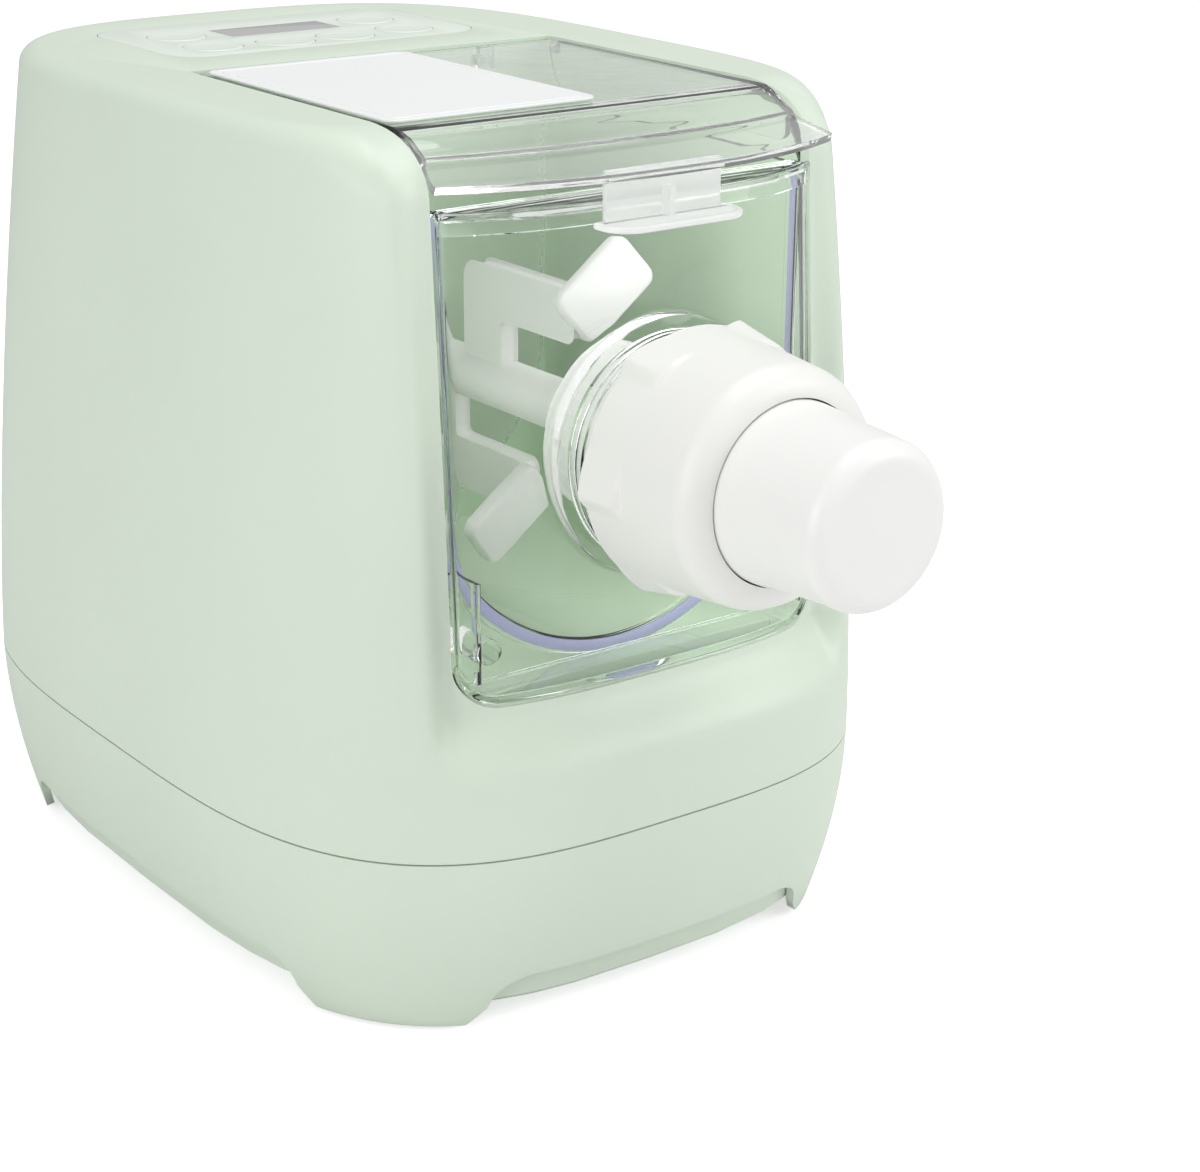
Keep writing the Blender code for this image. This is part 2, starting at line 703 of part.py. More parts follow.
MACHINE = bpy.data.objects.new("machine", None)
MACHINE.location = (0, BODY_Y, 0)
bpy.context.scene.collection.objects.link(MACHINE)


# Upper housing
OUTER_ROW_SHARES = (0, 0.06, 0.11, 0.15, 0.185, 0.215, 0.29, 0.42, 0.56, 0.70, 0.83, 0.93, 1)
INNER_ROW_SHARES = (0, 0.04, 0.12, 0.20, 0.50, 0.78, 1)
SHELL_LOW_Z = SEAM_Z + SEAM_REVEAL


def housing_shape():
    """The shell as one skin: up the outside, over the deck, and down the inside to the open bottom."""
    outer = body_rings(0, SHELL_LOW_Z, HEIGHT, OUTER_ROW_SHARES, 4)
    inner = body_rings(WALL, SHELL_LOW_Z, HEIGHT - WALL, INNER_ROW_SHARES, 2)
    rings = inner[::-1] + outer
    return loft(rings)


def vent_cutters():
    """Two columns of level slots through the rear wall, behind the fan."""
    cutters = []
    for column in (-VENT_COLUMN_X, VENT_COLUMN_X):
        for k in range(VENT_COUNT):
            z = VENT_LOW_Z + k * VENT_PITCH
            low = (column - VENT_HALF_LENGTH, SEAM_HALF_Y - 4 * WALL, z)
            high = (column + VENT_HALF_LENGTH, SEAM_HALF_Y + OVERRUN, z + VENT_HEIGHT)
            cutters.append(box(low, high))
    return cutters


window_cutter = prism(
    window_outline(0, WINDOW_LOW_Z, HEIGHT + OVERRUN, WINDOW_CORNER), "Y", WINDOW_FRONT_Y, WINDOW_REAR_Y
)
panel_cutter = prism(panel_outline(0), "Z", HEIGHT - WALL - OVERRUN, HEIGHT + OVERRUN)
build("upper_housing", housing_shape(), "mint_plastic", cuts=[window_cutter, panel_cutter, *vent_cutters()])


# Base ring with its arches
TONGUE_INSET = WALL + TONGUE_CLEARANCE


def base_profile():
    """Wall of the base with a tongue that rises inside the housing."""
    tongue_top = SEAM_Z + TONGUE_RISE
    inner = TONGUE_INSET + TONGUE_WALL
    return [
        (0, BASE_LOW_Z),
        (0, SEAM_Z / 3),
        (0, SEAM_Z * 2 / 3),
        (0, SEAM_Z),
        (TONGUE_INSET, SEAM_Z),
        (TONGUE_INSET, tongue_top),
        (inner, tongue_top),
        (inner, SEAM_Z - TONGUE_RISE),
        (WALL, SEAM_Z - 2 * TONGUE_RISE),
        (WALL, TRAY_LOW_Z + TRAY_RISE),
        (WALL, TRAY_LOW_Z + TRAY_FLOOR),
        (WALL, BASE_LOW_Z),
    ]


def arch_outline(low, high):
    """A low arch between two feet: sloped ends, rounded shoulders and a flat crown."""
    half = [
        (0, -OVERRUN),
        (0, BASE_LOW_Z),
        (ARCH_SLOPE, ARCH_SHOULDER_Z),
        (ARCH_SLOPE + ARCH_CURVE / 3, (ARCH_SHOULDER_Z + 2 * ARCH_RISE) / 3),
        (ARCH_SLOPE + ARCH_CURVE, ARCH_RISE),
    ]
    left = [(low + u, z) for u, z in half]
    right = [(high - u, z) for u, z in half]
    return left + right[::-1]


arch_half_y = SEAM_HALF_Y + OVERRUN
front_arches = prism(arch_outline(-ARCH_HALF_X, ARCH_HALF_X), "Y", -arch_half_y, arch_half_y)
side_arches = prism(
    arch_outline(ARCH_SIDE_LOW_Y, ARCH_SIDE_HIGH_Y), "X", -SEAM_HALF_X - OVERRUN, SEAM_HALF_X + OVERRUN
)
gland_hole = rod("Y", (GLAND_X, GLAND_Z), GLAND_RADIUS + GAP, SEAM_HALF_Y - 8 * WALL, SEAM_HALF_Y + OVERRUN)
build("base_ring", ring_profile(base_profile()), "mint_plastic", cuts=[front_arches, side_arches, gland_hole])


# Bottom tray, closing the base from below
TRAY_INSET = WALL + GAP
TRAY_INNER_Z = TRAY_LOW_Z + TRAY_FLOOR


def tray_shape():
    """A shallow pan: outside up, over the rim, and down to its floor."""
    turns = plan_turns()
    rim_z = TRAY_LOW_Z + TRAY_RISE
    inner = TRAY_INSET + TRAY_WALL
    section = [
        (TRAY_INSET + TRAY_FLOOR, TRAY_LOW_Z),
        (TRAY_INSET, TRAY_LOW_Z + TRAY_FLOOR),
        (TRAY_INSET, rim_z),
        (inner, rim_z),
        (inner, TRAY_INNER_Z),
    ]
    return loft([[(*plan_point(t, z, inset), z) for t in turns] for inset, z in section])


def tray_posts():
    """Posts that carry the power board."""
    top = POWER_Z - GAP
    low = TRAY_LOW_Z + TRAY_FLOOR / 2
    posts = []
    for x in (-POWER_HALF_X + 2 * POWER_POST_RADIUS, POWER_HALF_X - 2 * POWER_POST_RADIUS):
        for y in (POWER_LOW_Y + 2 * POWER_POST_RADIUS, POWER_HIGH_Y - 2 * POWER_POST_RADIUS):
            posts.append(rod("Z", (x, y), POWER_POST_RADIUS, low, top, TINY_STEPS))
    return posts


def tray_cutters():
    """Sockets for the feet's spigots and a row of slots for the fan's air."""
    low, high = TRAY_LOW_Z - OVERRUN, TRAY_INNER_Z + OVERRUN
    cutters = []
    for x in (-FOOT_PAD_X, FOOT_PAD_X):
        for y in (-FOOT_PAD_Y, FOOT_PAD_Y):
            cutters.append(rod("Z", (x, y), FOOT_SPIGOT_RADIUS + GAP, low, high, TINY_STEPS))
    for k in range(TRAY_VENT_COUNT):
        y = TRAY_VENT_Y + (k - (TRAY_VENT_COUNT - 1) / 2) * VENT_PITCH
        cutters.append(box((-VENT_HALF_LENGTH, y, low), (VENT_HALF_LENGTH, y + VENT_HEIGHT, high)))
    return cutters


build("bottom_tray", tray_shape(), "mint_plastic", joins=tray_posts(), cuts=tray_cutters())


# Rubber feet, pressed into the tray from below
def foot_shape(x, y):
    """A pad with a rounded lower edge and a spigot above."""
    pad_top = TRAY_LOW_Z - GAP
    profile = [
        (0, FOOT_PAD_RADIUS - BASE_LOW_Z),
        (BASE_LOW_Z, FOOT_PAD_RADIUS),
        (pad_top, FOOT_PAD_RADIUS),
        (pad_top, FOOT_SPIGOT_RADIUS),
        (TRAY_INNER_Z + TRAY_FLOOR, FOOT_SPIGOT_RADIUS),
    ]
    return turned(profile, (x, y), SMALL_STEPS, "Z", closed=False)


for side_name, x in (("left", -FOOT_PAD_X), ("right", FOOT_PAD_X)):
    for end_name, y in (("front", -FOOT_PAD_Y), ("rear", FOOT_PAD_Y)):
        build(f"rubber_foot_{end_name}_{side_name}", foot_shape(x, y), "dark_rubber")


# Chamber liner, the open tub that the mixing cup slides into
LINER_HALF_X = WINDOW_HALF_X + LINER_WALL
LINER_BACK_Y = WINDOW_REAR_Y + LINER_WALL


def body_core(inset):
    """The housing's hollow as a solid, drawn in by an inset."""
    rings = body_rings(inset, SHELL_LOW_Z, HEIGHT - inset, INNER_ROW_SHARES, 2)
    return loft(rings)


liner_outline = window_outline(-LINER_WALL, WINDOW_LOW_Z - LINER_WALL, HEIGHT, WINDOW_CORNER + LINER_WALL)
liner_inside = window_outline(0, WINDOW_LOW_Z, HEIGHT + OVERRUN, WINDOW_CORNER)
hinge_hole_x = LINER_HALF_X + OVERRUN
hinge_hole = rod("X", (HINGE_Y, HINGE_Z), HINGE_PIN_RADIUS + GAP, -hinge_hole_x, hinge_hole_x, TINY_STEPS)
switch_slot = box(
    (SWITCH_X - PLUNGER_HALF_X - GAP, WINDOW_REAR_Y - OVERRUN, SWITCH_Z - PLUNGER_HALF_Z - GAP),
    (SWITCH_X + PLUNGER_HALF_X + GAP, LINER_BACK_Y + OVERRUN, SWITCH_Z + PLUNGER_HALF_Z + GAP),
)
build(
    "chamber_liner",
    prism(liner_outline, "Y", WINDOW_FRONT_Y, LINER_BACK_Y),
    "mint_inner",
    keep=body_core(WALL + LINER_EDGE_GAP),
    cuts=[
        prism(liner_inside, "Y", WINDOW_FRONT_Y - OVERRUN, WINDOW_REAR_Y),
        rod("Y", (0, AXIS_Z), LINER_SHAFT_HOLE_RADIUS, WINDOW_REAR_Y - OVERRUN, LINER_BACK_Y + OVERRUN),
        hinge_hole,
        switch_slot,
    ],
)


# Mixing cup
def trough_outline(half_x, radius, top_z, steps=18):
    """A U: straight sides down to a round bottom about the mixing axis."""
    side = math.asin(min(1, half_x / radius))
    start = -math.pi / 2 - side
    bottom = arc((0, AXIS_Z), radius, start, start + 2 * side, steps)
    return [(-half_x, top_z), *bottom, (half_x, top_z)]


def cup_inside(front, rear):
    outline = trough_outline(CUP_HALF_X - CUP_WALL, CUP_RADIUS - CUP_WALL, CUP_TOP_Z + OVERRUN)
    return prism(outline, "Y", front, rear)


CUP_WALL_Y = CUP_REAR_Y - CUP_WALL
cup_wall = prism(trough_outline(CUP_HALF_X, CUP_RADIUS, CUP_TOP_Z), "Y", CUP_FRONT_Y + GAP, CUP_REAR_Y)
rim_outline = trough_outline(CUP_RIM_HALF_X, CUP_RIM_RADIUS, CUP_TOP_Z)
foot_outline = trough_outline(CUP_HALF_X, CUP_RIM_RADIUS, CUP_TOP_Z)
build(
    "mixing_cup",
    cup_wall,
    "clear_plastic",
    joins=[
        prism(rim_outline, "Y", CUP_FRONT_Y, CUP_FRONT_Y + CUP_RIM_THICK),
        prism(foot_outline, "Y", CUP_REAR_Y - CUP_RIM_THICK, CUP_REAR_Y - GAP),
    ],
    cuts=[
        cup_inside(CUP_FRONT_Y - OVERRUN, CUP_WALL_Y),
        rod(
            "Y", (0, AXIS_Z), SEAL_OUTER_RADIUS + GAP, CUP_WALL_Y - OVERRUN, CUP_REAR_Y + OVERRUN, ROUND_STEPS
        ),
    ],
)

# Shaft seal in the cup's rear wall
seal_profile = [
    (CUP_WALL_Y, SEAL_INNER_RADIUS),
    (CUP_REAR_Y, SEAL_INNER_RADIUS),
    (CUP_REAR_Y, SEAL_OUTER_RADIUS),
    (CUP_WALL_Y, SEAL_OUTER_RADIUS),
]
build("shaft_seal", turned(seal_profile, (0, AXIS_Z), SMALL_STEPS * 2), "dark_rubber")

# Gasket between the cup's rim and the front plate
gasket_half = CUP_HALF_X + GAP
gasket_radius = CUP_RADIUS + GASKET_BAND / 2
gasket_inside = trough_outline(gasket_half - GASKET_BAND, gasket_radius - GASKET_BAND, CUP_TOP_Z + OVERRUN)
build(
    "cup_gasket",
    prism(trough_outline(gasket_half, gasket_radius, CUP_TOP_Z), "Y", GASKET_FRONT_Y, GASKET_BACK_Y),
    "violet_seal",
    cuts=[prism(gasket_inside, "Y", GASKET_FRONT_Y - OVERRUN, GASKET_BACK_Y + OVERRUN)],
)


# Front plate: a curved clear tray with the threaded collar
PLATE_RING_SHARES = (1, 0.84, 0.60, 0.32)
PLATE_HOLLOW_SHARES = (1, 0.60)


def plate_block(inset, back_y, low_z, top_z, radii, shares, proud=0):
    """A block with the plate's curved front and a flat back."""
    half = PLATE_HALF_X - inset
    outline = round_rectangle(-half, half, low_z + inset, top_z, radii, 4)
    dense = []
    for k, (u, v) in enumerate(outline):
        following = outline[(k + 1) % len(outline)]
        dense.append((u, v))
        pieces = max(1, round(math.dist((u, v), following) / (2 * PLATE_CORNER)))
        for i in range(1, pieces):
            share = i / pieces
            dense.append((u + (following[0] - u) * share, v + (following[1] - v) * share))
    middle = (low_z + inset + top_z) / 2
    rings = [[(u, back_y, v) for u, v in dense]]
    for share in shares:
        ring = []
        for u, v in dense:
            x, z = u * share, middle + (v - middle) * share
            ring.append((x, plate_y(x, z) + inset - proud, z))
        rings.append(ring)
    points, faces = loft(rings)
    edge = faces.pop()
    points.append((0, plate_y(0, middle) + inset - proud, middle))
    faces += [(a, b, len(points) - 1) for a, b in zip(edge, edge[1:] + edge[:1])]
    return points, faces


plate_radii = (PLATE_CORNER, PLATE_CORNER, PLATE_TOP_CORNER, PLATE_TOP_CORNER)
hollow_radii = (PLATE_CORNER - PLATE_WALL, PLATE_CORNER - PLATE_WALL, 0, 0)
band_radii = (0, 0, PLATE_TOP_CORNER, PLATE_TOP_CORNER)
band_low_z = PLATE_TOP_Z - PLATE_BAND_DROP
collar_rear_y = PLATE_MIDDLE_Y + PLATE_WALL / 2
boss_front_y = PLATE_MIDDLE_Y - BOSS_RISE
band_front = PLATE_BAND_PROUD + GAP
collar = [
    (collar_rear_y, COLLAR_BORE),
    (collar_rear_y, BOSS_RADIUS),
    (boss_front_y, BOSS_RADIUS),
    (boss_front_y - GAP, COLLAR_RADIUS),
    (COLLAR_FRONT_Y, COLLAR_RADIUS),
    (COLLAR_FRONT_Y, COLLAR_BORE),
]
build(
    "front_plate",
    plate_block(0, PLATE_BACK_Y, PLATE_LOW_Z, PLATE_TOP_Z, plate_radii, PLATE_RING_SHARES),
    "clear_plastic",
    joins=[
        plate_block(
            GAP, PLATE_BACK_Y + GAP, band_low_z, PLATE_TOP_Z - GAP, band_radii, PLATE_RING_SHARES, band_front
        ),
        turned(collar, (0, AXIS_Z)),
    ],
    cuts=[
        plate_block(
            PLATE_WALL, PLATE_BACK_Y + OVERRUN, PLATE_LOW_Z, PLATE_TOP_Z + OVERRUN, hollow_radii,
            PLATE_HOLLOW_SHARES,
        ),
        rod("Y", (0, AXIS_Z), BARREL_RADIUS + GAP, COLLAR_FRONT_Y, PLATE_BACK_Y, ROUND_STEPS),
    ],
)


# Extrusion barrel, held in the collar by its front flange
barrel_profile = [
    (BARREL_REAR_Y, BARREL_BORE),
    (BARREL_REAR_Y, BARREL_RADIUS),
    (COLLAR_FRONT_Y + BARREL_FLANGE_THICK, BARREL_RADIUS),
    (COLLAR_FRONT_Y + BARREL_FLANGE_THICK, COLLAR_BORE - GAP),
    (COLLAR_FRONT_Y, COLLAR_BORE - GAP),
    (COLLAR_FRONT_Y, BARREL_BORE),
]
build("extrusion_barrel", turned(barrel_profile, (0, AXIS_Z)), "white_plastic")


FLANGE_BACK_Y = COLLAR_FRONT_Y - GAP
FLANGE_FRONT_Y = FLANGE_BACK_Y - HEAD_FLANGE_THICK
NUT_WEB_Y = FLANGE_FRONT_Y - GAP


# Ring nut with wedge ribs that fade towards its nose
def nut_shape():
    """Rings from the bore's rear edge, over the ribbed cone and the round nose, back through the hole."""
    hole = HEAD_ROOT_RADIUS + RUN_CLEARANCE * 2
    nose_centre = NUT_FRONT_RADIUS - NUT_NOSE_RADIUS
    cone_front_y = NUT_FRONT_Y + NUT_NOSE_RADIUS
    stations = [(NUT_REAR_Y, NUT_REAR_RADIUS)]
    for share in NUT_CONE_SHARES:
        y = NUT_REAR_Y + (cone_front_y - NUT_REAR_Y) * share
        stations.append((y, NUT_REAR_RADIUS + (NUT_FRONT_RADIUS - NUT_REAR_RADIUS) * share))
    for bend in NUT_NOSE_SHARES:
        angle = bend * math.pi / 2
        y = cone_front_y - NUT_NOSE_RADIUS * math.sin(angle)
        stations.append((y, nose_centre + NUT_NOSE_RADIUS * math.cos(angle)))
    stations += [
        (NUT_FRONT_Y, hole),
        (NUT_WEB_Y, hole),
        (NUT_WEB_Y, NUT_BORE_RADIUS),
        (NUT_REAR_Y, NUT_BORE_RADIUS),
    ]
    rings = []
    for k, (y, radius) in enumerate(stations):
        on_cone = k <= len(NUT_CONE_SHARES)
        fade = max(0, (y - NUT_RIB_END_Y) / NUT_RIB_LENGTH) if on_cone else 0
        ring = []
        for turn in nut_turns():
            grown = radius + NUT_RIB_HEIGHT * fade * rib_share(turn)
            ring.append((grown * math.cos(turn), y, AXIS_Z + grown * math.sin(turn)))
        rings.append(ring)
    return loft(rings, closed=True)


def nut_turns():
    """Places round the nut, set so that each rib's edges fall on one."""
    pitch = 2 * math.pi / NUT_RIBS
    start = math.radians(NUT_RIB_PHASE_DEG - NUT_RIB_RISE_DEG)
    return [start + pitch * (k + share) for k in range(NUT_RIBS) for share in NUT_PLACE_SHARES]


def rib_share(turn):
    """One rib's outline round the nut: a long rise, then a short fall."""
    pitch = 360 / NUT_RIBS
    place = (math.degrees(turn) - NUT_RIB_PHASE_DEG + NUT_RIB_RISE_DEG) % pitch - NUT_RIB_RISE_DEG
    if place <= 0:
        return 1 + place / NUT_RIB_RISE_DEG
    return max(0, 1 - place / NUT_RIB_FALL_DEG)


build("ring_nut", nut_shape(), "white_plastic", origin=(0, NUT_REAR_Y, AXIS_Z))


# Extruder head, a closed cup with the die in its underside
def head_radius(y):
    """Outer radius of the head's slightly tapered barrel."""
    share = (y - NUT_FRONT_Y) / (HEAD_TIP_Y - NUT_FRONT_Y)
    return HEAD_ROOT_RADIUS + (HEAD_TIP_RADIUS - HEAD_ROOT_RADIUS) * max(0, share)


def head_profile():
    """Section of the head: bore, rear flange, barrel and rounded end."""
    centre_y = HEAD_TIP_Y + HEAD_TIP_ROUND
    centre_r = head_radius(centre_y) - HEAD_TIP_ROUND
    end_y = HEAD_TIP_Y + HEAD_WALL
    rounded = []
    for k in range(6):
        angle = math.pi / 2 * k / 5
        y = centre_y - HEAD_TIP_ROUND * math.sin(angle)
        rounded.append((y, centre_r + HEAD_TIP_ROUND * math.cos(angle)))
    outside = [
        (FLANGE_BACK_Y, BARREL_BORE),
        (FLANGE_BACK_Y, HEAD_FLANGE_RADIUS),
        (FLANGE_FRONT_Y, HEAD_FLANGE_RADIUS),
        (FLANGE_FRONT_Y, HEAD_ROOT_RADIUS),
        (NUT_FRONT_Y, HEAD_ROOT_RADIUS),
    ]
    return outside + rounded, end_y


def head_shape():
    """The head's outside as a solid of revolution, closed at the tip."""
    outside, _ = head_profile()
    return turned(outside, (0, AXIS_Z), closed=False)


def head_bore():
    end_y = head_profile()[1]
    return rod("Y", (0, AXIS_Z), BARREL_BORE, end_y, FLANGE_BACK_Y + OVERRUN, ROUND_STEPS)


def sector(inner, outer, half_angle, low_y, high_y, steps=8):
    """A curved block under the axis, between two radii."""
    down = -math.pi / 2
    outside = arc((0, AXIS_Z), outer, down - half_angle, down + half_angle, steps)
    inside = arc((0, AXIS_Z), inner, down + half_angle, down - half_angle, steps)
    return prism(outside + inside, "Y", low_y, high_y)


HEAD_ORIGIN = (0, FLANGE_BACK_Y, AXIS_Z)
die_angle = math.radians(DIE_HALF_ANGLE_DEG)
die_margin = GAP / BARREL_BORE
head_window = sector(
    BARREL_BORE - HEAD_WALL,
    HEAD_ROOT_RADIUS + OVERRUN,
    die_angle + die_margin,
    DIE_FRONT_Y - GAP,
    DIE_REAR_Y + GAP,
)
build("extruder_head", head_shape(), "white_plastic", cuts=[head_bore(), head_window], origin=HEAD_ORIGIN)


def die_holes():
    """Rows of round holes for the strands."""
    holes = []
    depth = AXIS_Z - HEAD_ROOT_RADIUS - OVERRUN
    for row in range(DIE_ROWS):
        y = DIE_REAR_Y + (DIE_FRONT_Y - DIE_REAR_Y) * (row + 1 / 2) / DIE_ROWS
        for column in range(DIE_COLUMNS):
            share = (column - (DIE_COLUMNS - 1) / 2) / DIE_COLUMNS
            x = 2 * share * BARREL_BORE * math.sin(die_angle)
            holes.append(rod("Z", (x, y), DIE_HOLE_RADIUS, depth, AXIS_Z, 6))
    return holes


die_shape = sector(BARREL_BORE + GAP, BARREL_BORE + GAP + DIE_THICK, die_angle, DIE_FRONT_Y, DIE_REAR_Y)
build("die_plate", die_shape, "white_plastic", cuts=die_holes(), origin=HEAD_ORIGIN)


# Mixing paddle: a shaft with two looped arms and blades, driven from behind
def turned_plate(length, width, thick, tilt, root, twist):
    """A flat blade that leans outwards from a root point, in the plane square to the axis, then twisted."""
    frame = Matrix.Translation(root) @ Matrix.Rotation(-tilt, 4, "Y") @ Matrix.Rotation(twist, 4, "X")
    half = thick / 2
    outline = round_rectangle(0, length, -width / 2, width / 2, (0, thick / 2, thick / 2, 0), 3)
    rings = []
    for depth in (-half, half):
        rings.append([tuple(frame @ Vector((u, depth, v))) for u, v in outline])
    return loft(rings)


def spin_shape(shape, angle):
    """The shape turned about the mixing axis."""
    centre = Vector((0, 0, AXIS_Z))
    turn = Matrix.Translation(centre) @ Matrix.Rotation(-angle, 4, "Y") @ Matrix.Translation(-centre)
    return [tuple(turn @ Vector(p)) for p in shape[0]], shape[1]


def paddle_arm(angle, front_y_place):
    """One arm: a web out from the shaft, a bar along the cup and a blade at the bar's front end."""
    half_thick = PADDLE_ARM_THICK / 2
    half_width = PADDLE_ARM_WIDTH / 2
    web = box(
        (-half_thick, front_y_place - half_width, AXIS_Z),
        (half_thick, front_y_place + half_width, AXIS_Z + PADDLE_BAR_HIGH),
    )
    bar_front = front_y_place - PADDLE_BAR_LENGTH
    bar = box(
        (-half_thick + GAP, bar_front, AXIS_Z + PADDLE_BAR_LOW),
        (half_thick - GAP, front_y_place, AXIS_Z + PADDLE_BAR_HIGH - GAP),
    )
    root = (-half_thick / 2, bar_front + PADDLE_BLADE_THICK, AXIS_Z + (PADDLE_BAR_LOW + PADDLE_BAR_HIGH) / 2)
    tilt = math.radians(PADDLE_BLADE_TILT_DEG)
    blade = turned_plate(PADDLE_BLADE_LENGTH, PADDLE_BLADE_WIDTH, PADDLE_BLADE_THICK, tilt, root, tilt / 2)
    return [spin_shape(piece, angle) for piece in (web, bar, blade)]


paddle_profile = [
    (PADDLE_REAR_Y, PADDLE_SHAFT_RADIUS),
    (PADDLE_REAR_Y - SOCKET_DEPTH, PADDLE_SHAFT_RADIUS),
    (SCREW_REAR_Y + GAP, PADDLE_SHAFT_RADIUS),
]
hex_socket = prism(
    circle((0, AXIS_Z), SHAFT_RADIUS + GAP * 2, 6), "Y", PADDLE_REAR_Y - SOCKET_DEPTH, PADDLE_REAR_Y + OVERRUN
)
build(
    "mixing_paddle",
    turned(paddle_profile, (0, AXIS_Z), 24, closed=False),
    "white_plastic",
    joins=[*paddle_arm(0, PADDLE_ARM_Y), *paddle_arm(math.pi, PADDLE_ARM_Y / 2)],
    cuts=[hex_socket],
    origin=(0, PADDLE_REAR_Y, AXIS_Z),
)


# Extruder screw: one helical flight round a core that thickens to the front
def screw_shape():
    """Rings along the axis; the radius peaks where the helix passes."""
    rows = 24
    steps = 20
    rings = []
    for k in range(rows + 1):
        share = k / rows
        y = SCREW_REAR_Y + (SCREW_FRONT_Y - SCREW_REAR_Y) * share
        core = SCREW_CORE_RADIUS + (SCREW_TIP_CORE_RADIUS - SCREW_CORE_RADIUS) * share
        ring = []
        for i in range(steps):
            turn = 2 * math.pi * i / steps
            phase = turn + 2 * math.pi * (y - SCREW_REAR_Y) / SCREW_LEAD
            flight = max(0, math.cos(phase)) ** 3
            radius = core + (SCREW_RADIUS - core) * flight
            ring.append((radius * math.cos(turn), y, AXIS_Z + radius * math.sin(turn)))
        rings.append(ring)
    return loft(rings)


build("extruder_screw", screw_shape(), "white_plastic", origin=(0, SCREW_REAR_Y, AXIS_Z))


# Gears
def gear_outline(teeth, module, centre_z, phase, points_per_flank):
    """A toothed outline with involute flanks, thinned a little for backlash."""
    pitch_radius = teeth * module / 2
    base_radius = pitch_radius * math.cos(math.radians(20))
    tip_radius = pitch_radius + module * TOOTH_TIP_SHARE
    root_radius = pitch_radius - module * TOOTH_ROOT_SHARE
    half_tooth = math.pi * TOOTH_THICK_SHARE / teeth

    def roll(radius):
        if radius <= base_radius:
            return 0
        angle = math.acos(base_radius / radius)
        return math.tan(angle) - angle

    flank_low = max(root_radius, base_radius)
    radii = [flank_low + (tip_radius - flank_low) * k / points_per_flank for k in range(points_per_flank + 1)]
    if root_radius < base_radius:
        radii.insert(0, root_radius)
    outline = []
    for tooth in range(teeth):
        middle = phase + 2 * math.pi * tooth / teeth
        flank = [(r, half_tooth + roll(pitch_radius) - roll(r)) for r in radii]
        for radius, angle in flank:
            outline.append((radius, middle - angle))
        for radius, angle in reversed(flank):
            outline.append((radius, middle + angle))
    return [(r * math.cos(a), centre_z + r * math.sin(a)) for r, a in outline]


OUTPUT_CENTRES = (OUTPUT_TEETH + OUTPUT_PINION_TEETH) * OUTPUT_MODULE / 2
INPUT_CENTRES = (INPUT_TEETH + INPUT_PINION_TEETH) * INPUT_MODULE / 2
CLUSTER_Z = AXIS_Z - OUTPUT_CENTRES
MOTOR_Z = CLUSTER_Z - INPUT_CENTRES
DOWN = -math.pi / 2
UP = math.pi / 2


def gear(name, teeth, module, centre_z, y_range, phase, flank_points, bore, finish, joins=()):
    """A spur gear with a round bore."""
    outline = gear_outline(teeth, module, centre_z, phase, flank_points)
    low, high = y_range
    bore_tool = rod("Y", (0, centre_z), bore, low - 4 * OVERRUN, high + OVERRUN)
    return build(name, prism(outline, "Y", low, high), finish, joins, [bore_tool], origin=(0, low, centre_z))


output_gear_span = (OUTPUT_GEAR_LOW_Y, OUTPUT_GEAR_HIGH_Y)
input_gear_span = (INPUT_GEAR_LOW_Y, INPUT_GEAR_HIGH_Y)
input_pinion_span = (INPUT_GEAR_LOW_Y - PINION_EXTRA_FACE, INPUT_GEAR_HIGH_Y + 2 * PINION_EXTRA_FACE)
output_bore = SHAFT_RADIUS + RUN_CLEARANCE
cluster_bore = AXLE_RADIUS + RUN_CLEARANCE
gear("output_gear", OUTPUT_TEETH, OUTPUT_MODULE, AXIS_Z, output_gear_span, DOWN, 1, output_bore, "steel")
pinion_phase = UP + math.pi / OUTPUT_PINION_TEETH
cluster_pinion = prism(
    gear_outline(OUTPUT_PINION_TEETH, OUTPUT_MODULE, CLUSTER_Z, pinion_phase, 3),
    "Y",
    OUTPUT_GEAR_LOW_Y - PINION_EXTRA_FACE,
    INPUT_GEAR_LOW_Y + GAP,
)
gear(
    "cluster_gear", INPUT_TEETH, INPUT_MODULE, CLUSTER_Z, input_gear_span, DOWN, 1, cluster_bore,
    "gear_nylon", joins=[cluster_pinion],
)
motor_phase = UP + math.pi / INPUT_PINION_TEETH
gear(
    "motor_pinion", INPUT_PINION_TEETH, INPUT_MODULE, MOTOR_Z, input_pinion_span, motor_phase, 3,
    MOTOR_SHAFT_RADIUS + GAP, "steel",
)

# Output shaft with its hexagonal front end
COVER_BACK_Y = COVER_Y + CASE_WALL
shaft_profile = [
    (CUP_REAR_Y - OVERRUN, SHAFT_RADIUS),
    (COVER_Y, SHAFT_RADIUS),
]
hex_end = prism(circle((0, AXIS_Z), SHAFT_RADIUS, 6), "Y", SHAFT_FRONT_Y, CUP_REAR_Y - OVERRUN + GAP)
build(
    "output_shaft",
    turned(shaft_profile, (0, AXIS_Z), 24, closed=False),
    "steel",
    joins=[hex_end],
    origin=(0, COVER_Y, AXIS_Z),
)


# Gearbox case, cover, bushes and cluster axle
def case_outline(inset):
    radius = CASE_CORNER - inset
    half = CASE_HALF_X - inset
    return round_rectangle(-half, half, CASE_LOW_Z + inset, CASE_HIGH_Z - inset, (radius,) * 4)


